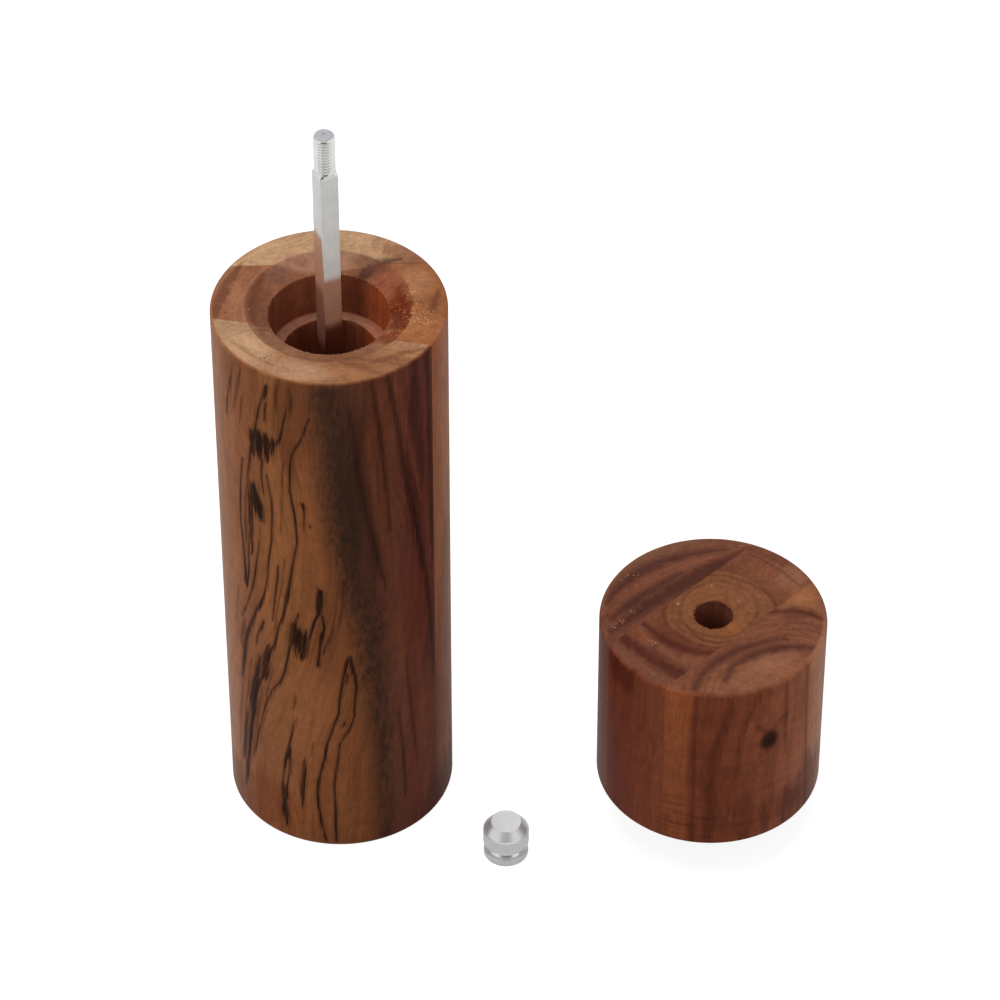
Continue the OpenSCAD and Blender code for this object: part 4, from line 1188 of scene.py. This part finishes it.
# %% Geometry Nodes tree for ridges
def sized_tree(name, *sizes):
    """A Geometry Nodes tree with an input for each size, what adds nodes to it, and its inputs."""
    tree = bpy.data.node_groups.new(name, "GeometryNodeTree")
    kinds = {"Geometry": "Geometry", **dict.fromkeys(sizes, "Float"), "Material": "Material"}
    for label, kind in kinds.items():
        tree.interface.new_socket(label, in_out="INPUT", socket_type="NodeSocket" + kind)
    tree.interface.new_socket("Geometry", in_out="OUTPUT", socket_type="NodeSocketGeometry")
    add = partial(add_to, tree)
    return tree, add, add("NodeGroupInput", out=None)


def finished(add, shape, material):
    """Ends a tree: its shape as plain geometry, with its material."""
    shape = add("GeometryNodeRealizeInstances", shape)
    shape = add("GeometryNodeSetMaterial", named={"Geometry": shape, "Material": material})
    add("NodeGroupOutput", shape, out=None)


def grown(mesh, tree, **sizes):
    """The plain mesh that a Geometry Nodes tree makes from a mesh, with these sizes."""
    holder = bpy.data.objects.new(tree.name, plain_mesh(mesh, tree.name))
    scene.collection.objects.link(holder)
    modifier = holder.modifiers.new(tree.name, "NODES")
    modifier.node_group = tree
    for socket in tree.interface.items_tree:
        if socket.in_out == "INPUT" and socket.name in sizes:
            modifier[socket.identifier] = sizes[socket.name]
    graph = bpy.context.evaluated_depsgraph_get()
    result = bpy.data.meshes.new_from_object(holder.evaluated_get(graph), depsgraph=graph)
    holder.modifiers.remove(modifier)
    bpy.data.objects.remove(holder)
    return result


ridges, add, ends = sized_tree(
    "ridges", "X", "Y", "Count", "Turns_per_metre", "Depth", "Low", "High", "Fade"
)
centre = add("CombineXYZ", ends["X"], ends["Y"], 0.0)
away = add("VectorMath.SUBTRACT", add("GeometryNodeInputPosition"), centre)
away_x, away_y, away_z = add("SeparateXYZ", away, out=None)
round_share = add("Math.DIVIDE", add("Math.ARCTAN2", away_y, away_x), 2 * math.pi)
climb = add("Math.MULTIPLY", away_z, ends["Turns_per_metre"])
phase = add("Math.SUBTRACT", add("Math.MULTIPLY", round_share, ends["Count"]), climb)
wave = add("Math.ABSOLUTE", add("Math.SUBTRACT", add("Math.FRACT", phase), 0.5))
groove = add("MapRange", wave, 0.07, 0.4375, 1.0, 0.0)
from_low = add("Math.SUBTRACT", away_z, ends["Low"])
to_high = add("Math.SUBTRACT", ends["High"], away_z)
inside = add("Math.DIVIDE", add("Math.MINIMUM", from_low, to_high), ends["Fade"], use_clamp=True)
depth = add("Math.MULTIPLY", add("Math.MULTIPLY", groove, inside), ends["Depth"])
outward = add("VectorMath.NORMALIZE", add("CombineXYZ", away_x, away_y, 0.0))
inward = add("VectorMath.SCALE", outward, None, None, add("Math.MULTIPLY", depth, -1.0))
cut = add("GeometryNodeSetPosition", named={"Geometry": ends["Geometry"], "Offset": inward})
finished(add, cut, ends["Material"])

# %% [markdown]
# ## Aluminium finishes
#
# The shaft is drawn square bar, satin, with fine lines along its length. Its foot that stood in the
# wood is painted brown: a film of pepper oil together with a painted reflection of the wood, and
# painted shade down in the bore. The knob is turned from round bar, so its tool marks run round the
# axis. The thread and the knob's neck were cut last and are the brightest.

# %% Metals
def bare_metal(name, code, roughness, lines=(1.0, 1.0, 1.0), depth=0.01, spread=0.08, metallic=1.0,
               axis=None, bands=(), film=(), reflecting_face=None):
    """Bare metal with fine tool marks.

    Lines is how fast the marks change along x, y and z, per mm, or for a part turned round an axis
    along its radius, its angle and its height. Bands lists (low, high, fade, colour, roughness,
    metallic) of heights that were cut brighter. Film lists (top, fade, colour, rise) of the brown
    layers further down, oil with painted reflection and painted shade, and the last argument says
    (direction, from, to) on which side they rise, the face that mirrors the wood.
    """
    material, add = new_finish(name)
    place = add("Mapping", add("TexCoord", out="Object"), None, None, (1 / MM, 1 / MM, 1 / MM))
    height = add("SeparateXYZ", place, out="Z")
    along = place
    if axis:
        away = add("VectorMath.MULTIPLY", add("VectorMath.SUBTRACT", place, axis), (1, 1, 0))
        along = add("CombineXYZ", add("VectorMath.LENGTH", away, out=1), 0.0, height)
    look = {"Scale": 1, "Detail": 5, "Roughness": 0.6}
    marks = add("TexNoise", add("VectorMath.MULTIPLY", along, lines), named=look)
    cloud = add("TexNoise", place, named={"Scale": 0.25, "Detail": 2})
    rough = add("MapRange", marks, *NOISE, roughness - spread, roughness + spread)
    tone = add("MapRange", marks, *NOISE, 0.96, 1.04)
    tone = add("Math.MULTIPLY", add("MapRange", cloud, *NOISE, 0.95, 1.04), tone)
    colour, shine = add("CombineColor", *paint(code)[:3]), metallic
    for low, high, fade, cut_code, smooth, bare in bands:
        away = add("Math.ABSOLUTE", add("Math.SUBTRACT", height, (low + high) / 2))
        part = add("MapRange", away, (high - low) / 2 + fade, (high - low) / 2)
        rough = add("Mix", part, None, rough, smooth)
        shine = add("Mix", part, None, shine, bare)
        marks = add("Mix", part, None, marks, 0.5)
        colour = add("Mix", part, named={6: colour, 7: cut_code}, **LAYER)
    if reflecting_face:
        direction, *edges = reflecting_face
        side = add("VectorMath.SUBTRACT", place, body_axis)
        rising = add("MapRange", add("VectorMath.DOT_PRODUCT", side, direction, out=1), *edges)
    # Brown layers further down: oil, with a painted reflection of the wood and painted shade in the
    # bore
    for top, fade, stain, rise in film:
        line = shaken(add, height, cloud, 1.0)
        if reflecting_face:
            line = add("Math.MULTIPLY_ADD", rising, -rise, line)
        below = add("MapRange", line, top + fade / 2, top - fade / 2, **SOFT_ENDS)
        colour = add("Mix", below, named={6: colour, 7: stain}, **LAYER)
    skin = {
        "Base Color": add("VectorMath.SCALE", colour, None, None, tone),
        "Metallic": shine,
        "Roughness": rough,
        "Normal": add("Bump", named={"Strength": 0.4, "Distance": depth * MM, "Height": marks}),
    }
    add("OutputMaterial", add("BsdfPrincipled", named=skin), out=None)
    return material


THREAD_L = 10.5
SHAFT_ANGLE = 26  # degrees that the square bar is turned from square to the paper
shaft_foot, shaft_tip = heights_of("drive_shaft")
shoulder = shaft_tip - THREAD_L
left_face = math.radians(SHAFT_ANGLE + 180)
drawn_bar = bare_metal(
    "drawn_aluminium_satin", "#E6E6E3", 0.42, lines=(7.0, 7.0, 0.06), metallic=0.12,
    bands=[
        (shoulder - 0.8, shaft_tip - 0.4, 0.4, "#E0DFDC", 0.15, 1.0),
        (shaft_tip - 0.25, shaft_tip, 0.15, "#ABADB0", 0.34, 0.4),
    ],
    # Brown layers on the foot: oil, a painted reflection of the wood, and painted shade in the bore
    film=[(162, 2.5, "#BE8E74", 13.0), (148, 3, "#8E6150", 11.0), (148, 4, "#5E3022", -6.0)],
    reflecting_face=((math.cos(left_face), math.sin(left_face), 0), 2.0, 2.28),
)
turned_bar = bare_metal(
    "turned_aluminium", "#E0E0E1", 0.36, lines=(9.0, 1.0, 9.0), spread=0.05, metallic=0.6,
    axis=knob_axis, bands=[(2.0, 4.0, 0.15, "#FCFCFA", 0.08, 1.0)],
)

# %% [markdown]
# ## The shaft
#
# A square bar whose tip was turned down to 5 mm and threaded. The turning leaves a sloping shoulder
# on each corner. In polar form the bar is a radius for each angle: the square's own, or the
# lathe's where that is smaller.

# %% Shaft with its thread
SHAFT_SIDE = 4.6
SHAFT_CORNER = 0.3
FOOT_CHAMFER = 0.3
SHOULDER_SLOPE = 0.9
THREAD_R = 2.48
THREAD_PITCH = 0.8
THREAD_DEPTH = 0.46
TIP_CHAMFER = 0.8
SHAFT_AROUND = 192


def square_reach(angle):
    """Distance from the axis to the bar's side in this direction, with its corners rounded."""
    flat = SHAFT_SIDE / 2
    across = abs((angle + math.pi / 4) % (math.pi / 2) - math.pi / 4)
    plain = flat / math.cos(across)
    middle = (flat - SHAFT_CORNER) * math.sqrt(2)
    to_corner = math.pi / 4 - across
    aside = middle * math.sin(to_corner)
    if aside >= SHAFT_CORNER:
        return plain
    return min(plain, middle * math.cos(to_corner) + math.sqrt(SHAFT_CORNER**2 - aside**2))


def shaft_reach(angle, height):
    """The same, where the lathe and the chamfer at the foot have cut the bar down."""
    if height >= shoulder:
        return THREAD_R
    reach = square_reach(angle - math.radians(SHAFT_ANGLE))
    if height <= shaft_foot:
        reach -= FOOT_CHAMFER
    return min(reach, THREAD_R + SHOULDER_SLOPE * (shoulder - height))


step = THREAD_PITCH / 12
heights = [
    shaft_foot, shaft_foot + FOOT_CHAMFER, shoulder - 1.6,
    *(shoulder - 1.2 + 0.1 * k for k in range(12)),
    *(shoulder + step * k for k in range(int((THREAD_L - TIP_CHAMFER) / step) + 1)),
]
tip = [  # radius, and how far below the tip: the chamfer, the flat end and the lathe's centre hole
    (THREAD_R, TIP_CHAMFER), (2.42, 0.65), (2.2, 0.3), (1.9, 0.1), (1.5, 0), (0.55, 0),
    (0.5, 0.05), (0.12, 0.4),
]
bar = bmesh.new()
around_shaft = partial(ring_of, bar, body_axis, around=SHAFT_AROUND)
rows = [around_shaft(z, reach=partial(shaft_reach, height=z)) for z in heights]
rows += [around_shaft(shaft_tip - below, reach=lambda angle: reach) for reach, below in tip]
skinned(bar, rows)
bar.faces.new(list(reversed(rows[0])))
bar.faces.new(rows[-1])
threaded = grown(
    bar, ridges, X=body_axis.x * MM, Y=body_axis.y * MM, Count=1.0,
    Turns_per_metre=1 / (THREAD_PITCH * MM), Depth=THREAD_DEPTH * MM, Low=(shoulder + 0.1) * MM,
    High=(shaft_tip - TIP_CHAMFER + 0.5) * MM, Fade=0.8 * MM, Material=drawn_bar,
)
piece(
    threaded, "threaded_shaft", drawn_bar, "shaft_and_rotor", "shaft_aluminium", "drive_shaft",
    crease=28,
)

# %% [markdown]
# ## The knob
#
# Turned from one bar: a base ring, a narrow bright neck, a knurled band to grip, and a cone with a
# flat face. The threaded hole in its foot takes the shaft's tip.

# %% Knob with its knurl
KNOB_BASE_R, KNOB_NECK_R, KNURL_R, CONE_R, FACE_R, HOLE_R = 5.45, 4.4, 5.6, 5.16, 3.7, 2.1
BASE_TOP, NECK_TOP, KNURL_TOP, HOLE_DEPTH = 1.9, 4.1, 8.0, 8.2
KNURL_COUNT, KNURL_DEPTH = 44, 0.22
knob_foot, knob_top = heights_of("knob")

knob_outline = eased([
    (HOLE_R, knob_foot, 0.15, 0),
    (KNOB_BASE_R, knob_foot, 0.25, 0),
    (KNOB_BASE_R, BASE_TOP, 0.2, 0),
    (KNOB_NECK_R, BASE_TOP, 0.12, 0),
    (KNOB_NECK_R, NECK_TOP, 0.12, 0),
    (KNURL_R, NECK_TOP, 0.12, 0),
    *((KNURL_R, NECK_TOP + 0.25 + 0.34 * k, 0, 0) for k in range(11)),
    (KNURL_R, KNURL_TOP, 0.12, 0),
    (CONE_R, KNURL_TOP + 0.12, 0.06, 0),
    (FACE_R, knob_top, 0.15, 0),
    (0, knob_top, 0, 0),
    (0, HOLE_DEPTH, 0, 0),
    (HOLE_R, HOLE_DEPTH, 0, 0),
])
knurled = grown(
    turned(knob_outline, knob_axis, around=8 * KNURL_COUNT), ridges, X=knob_axis.x * MM,
    Y=knob_axis.y * MM, Count=float(KNURL_COUNT), Turns_per_metre=0.0, Depth=KNURL_DEPTH * MM,
    Low=(NECK_TOP + 0.1) * MM, High=(KNURL_TOP - 0.1) * MM, Fade=0.3 * MM, Material=turned_bar,
)
piece(knurled, "knurled_knob", turned_bar, "knob", "knob_metal", "knob", crease=40)

# %% [markdown]
# ## The spring
#
# A compression spring of steel wire pushes the shaft down, away from the fixed grinding ring. Its
# two ends are closed, and it shortens as the shaft rises. A tree draws the helix as a curve and
# gives it the wire's thickness.

# %% Geometry Nodes tree for the spring
SPRING_R = 4.3
WIRE_R = 0.5
CURLS = 7
POINTS_PER_CURL = 28
CLOSED_ENDS = [(0, 0), (0.12, 0.055), (0.88, 0.945), (1, 1)]  # share of the wire, of the height

coil, add, ends = sized_tree("coil", "X", "Y", "Radius", "Wire_radius", "Low", "High", "Curls")
count = add("Math.MULTIPLY", ends["Curls"], POINTS_PER_CURL)
line = add("GeometryNodeMeshLine", named={"Count": count})
share = add("Math.DIVIDE", add("GeometryNodeInputIndex"), add("Math.ADD", count, -1.0))
angle = add("Math.MULTIPLY", add("Math.MULTIPLY", share, ends["Curls"]), 2 * math.pi)
climb = add("FloatCurve", 1.0, share, curves=[CLOSED_ENDS])
coil_x = add("Math.MULTIPLY_ADD", add("Math.COSINE", angle), ends["Radius"], ends["X"])
coil_y = add("Math.MULTIPLY_ADD", add("Math.SINE", angle), ends["Radius"], ends["Y"])
coil_z = add("MapRange", climb, 0.0, 1.0, ends["Low"], ends["High"])
place = add("CombineXYZ", coil_x, coil_y, coil_z)
helix = add("GeometryNodeSetPosition", named={"Geometry": line, "Position": place})
helix = add("GeometryNodeMeshToCurve", helix)
round_wire = {"Resolution": 14, "Radius": ends["Wire_radius"]}
section = add("GeometryNodeCurvePrimitiveCircle", named=round_wire)
wire = {"Curve": helix, "Profile Curve": section, "Fill Caps": True}
finished(add, add("GeometryNodeCurveToMesh", named=wire), ends["Material"])

# %% Spring
spring_steel = bare_metal("drawn_spring_steel", "#A9ABAE", 0.28, lines=(2, 2, 2))
spring_foot, spring_top = heights_of("spring")
spring_wire = grown(
    bpy.data.meshes.new("spring"), coil, X=body_axis.x * MM, Y=body_axis.y * MM,
    Radius=SPRING_R * MM, Wire_radius=WIRE_R * MM, Low=(spring_foot + WIRE_R) * MM,
    High=(spring_top - WIRE_R) * MM, Curls=float(CURLS), Material=spring_steel,
)
spring = piece(
    spring_wire, "coil_spring", spring_steel, "spring_seat", "spring_steel", "spring", crease=60
)
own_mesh(spring)

# %% [markdown]
# ## The grinder
#
# The rest of the grinder is right as the CAD model has it, and gets its finishes.

# %% Finishes of the grinder
cast_iron = bare_metal("cast_iron_oiled", "#4A4A4C", 0.42, lines=(1.5, 1.5, 1.5), depth=0.03)
zinc_plate = bare_metal("zinc_plated_steel", "#B4B8BC", 0.33, lines=(0.8, 0.8, 4.0))
PLATED = (
    "guide_bridge", "retaining_bar", "retaining_bar_screws", "spring_seat_washer", "rotor_washer",
    "rotor_screw", "drive_plate", "drive_plate_screws",
)
for finish, nodes in ((cast_iron, ("stator_ring", "rotor")), (zinc_plate, PLATED)):
    for node in nodes:
        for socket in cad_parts[node].material_slots:
            socket.material = finish
        print(node, "has", finish.name)
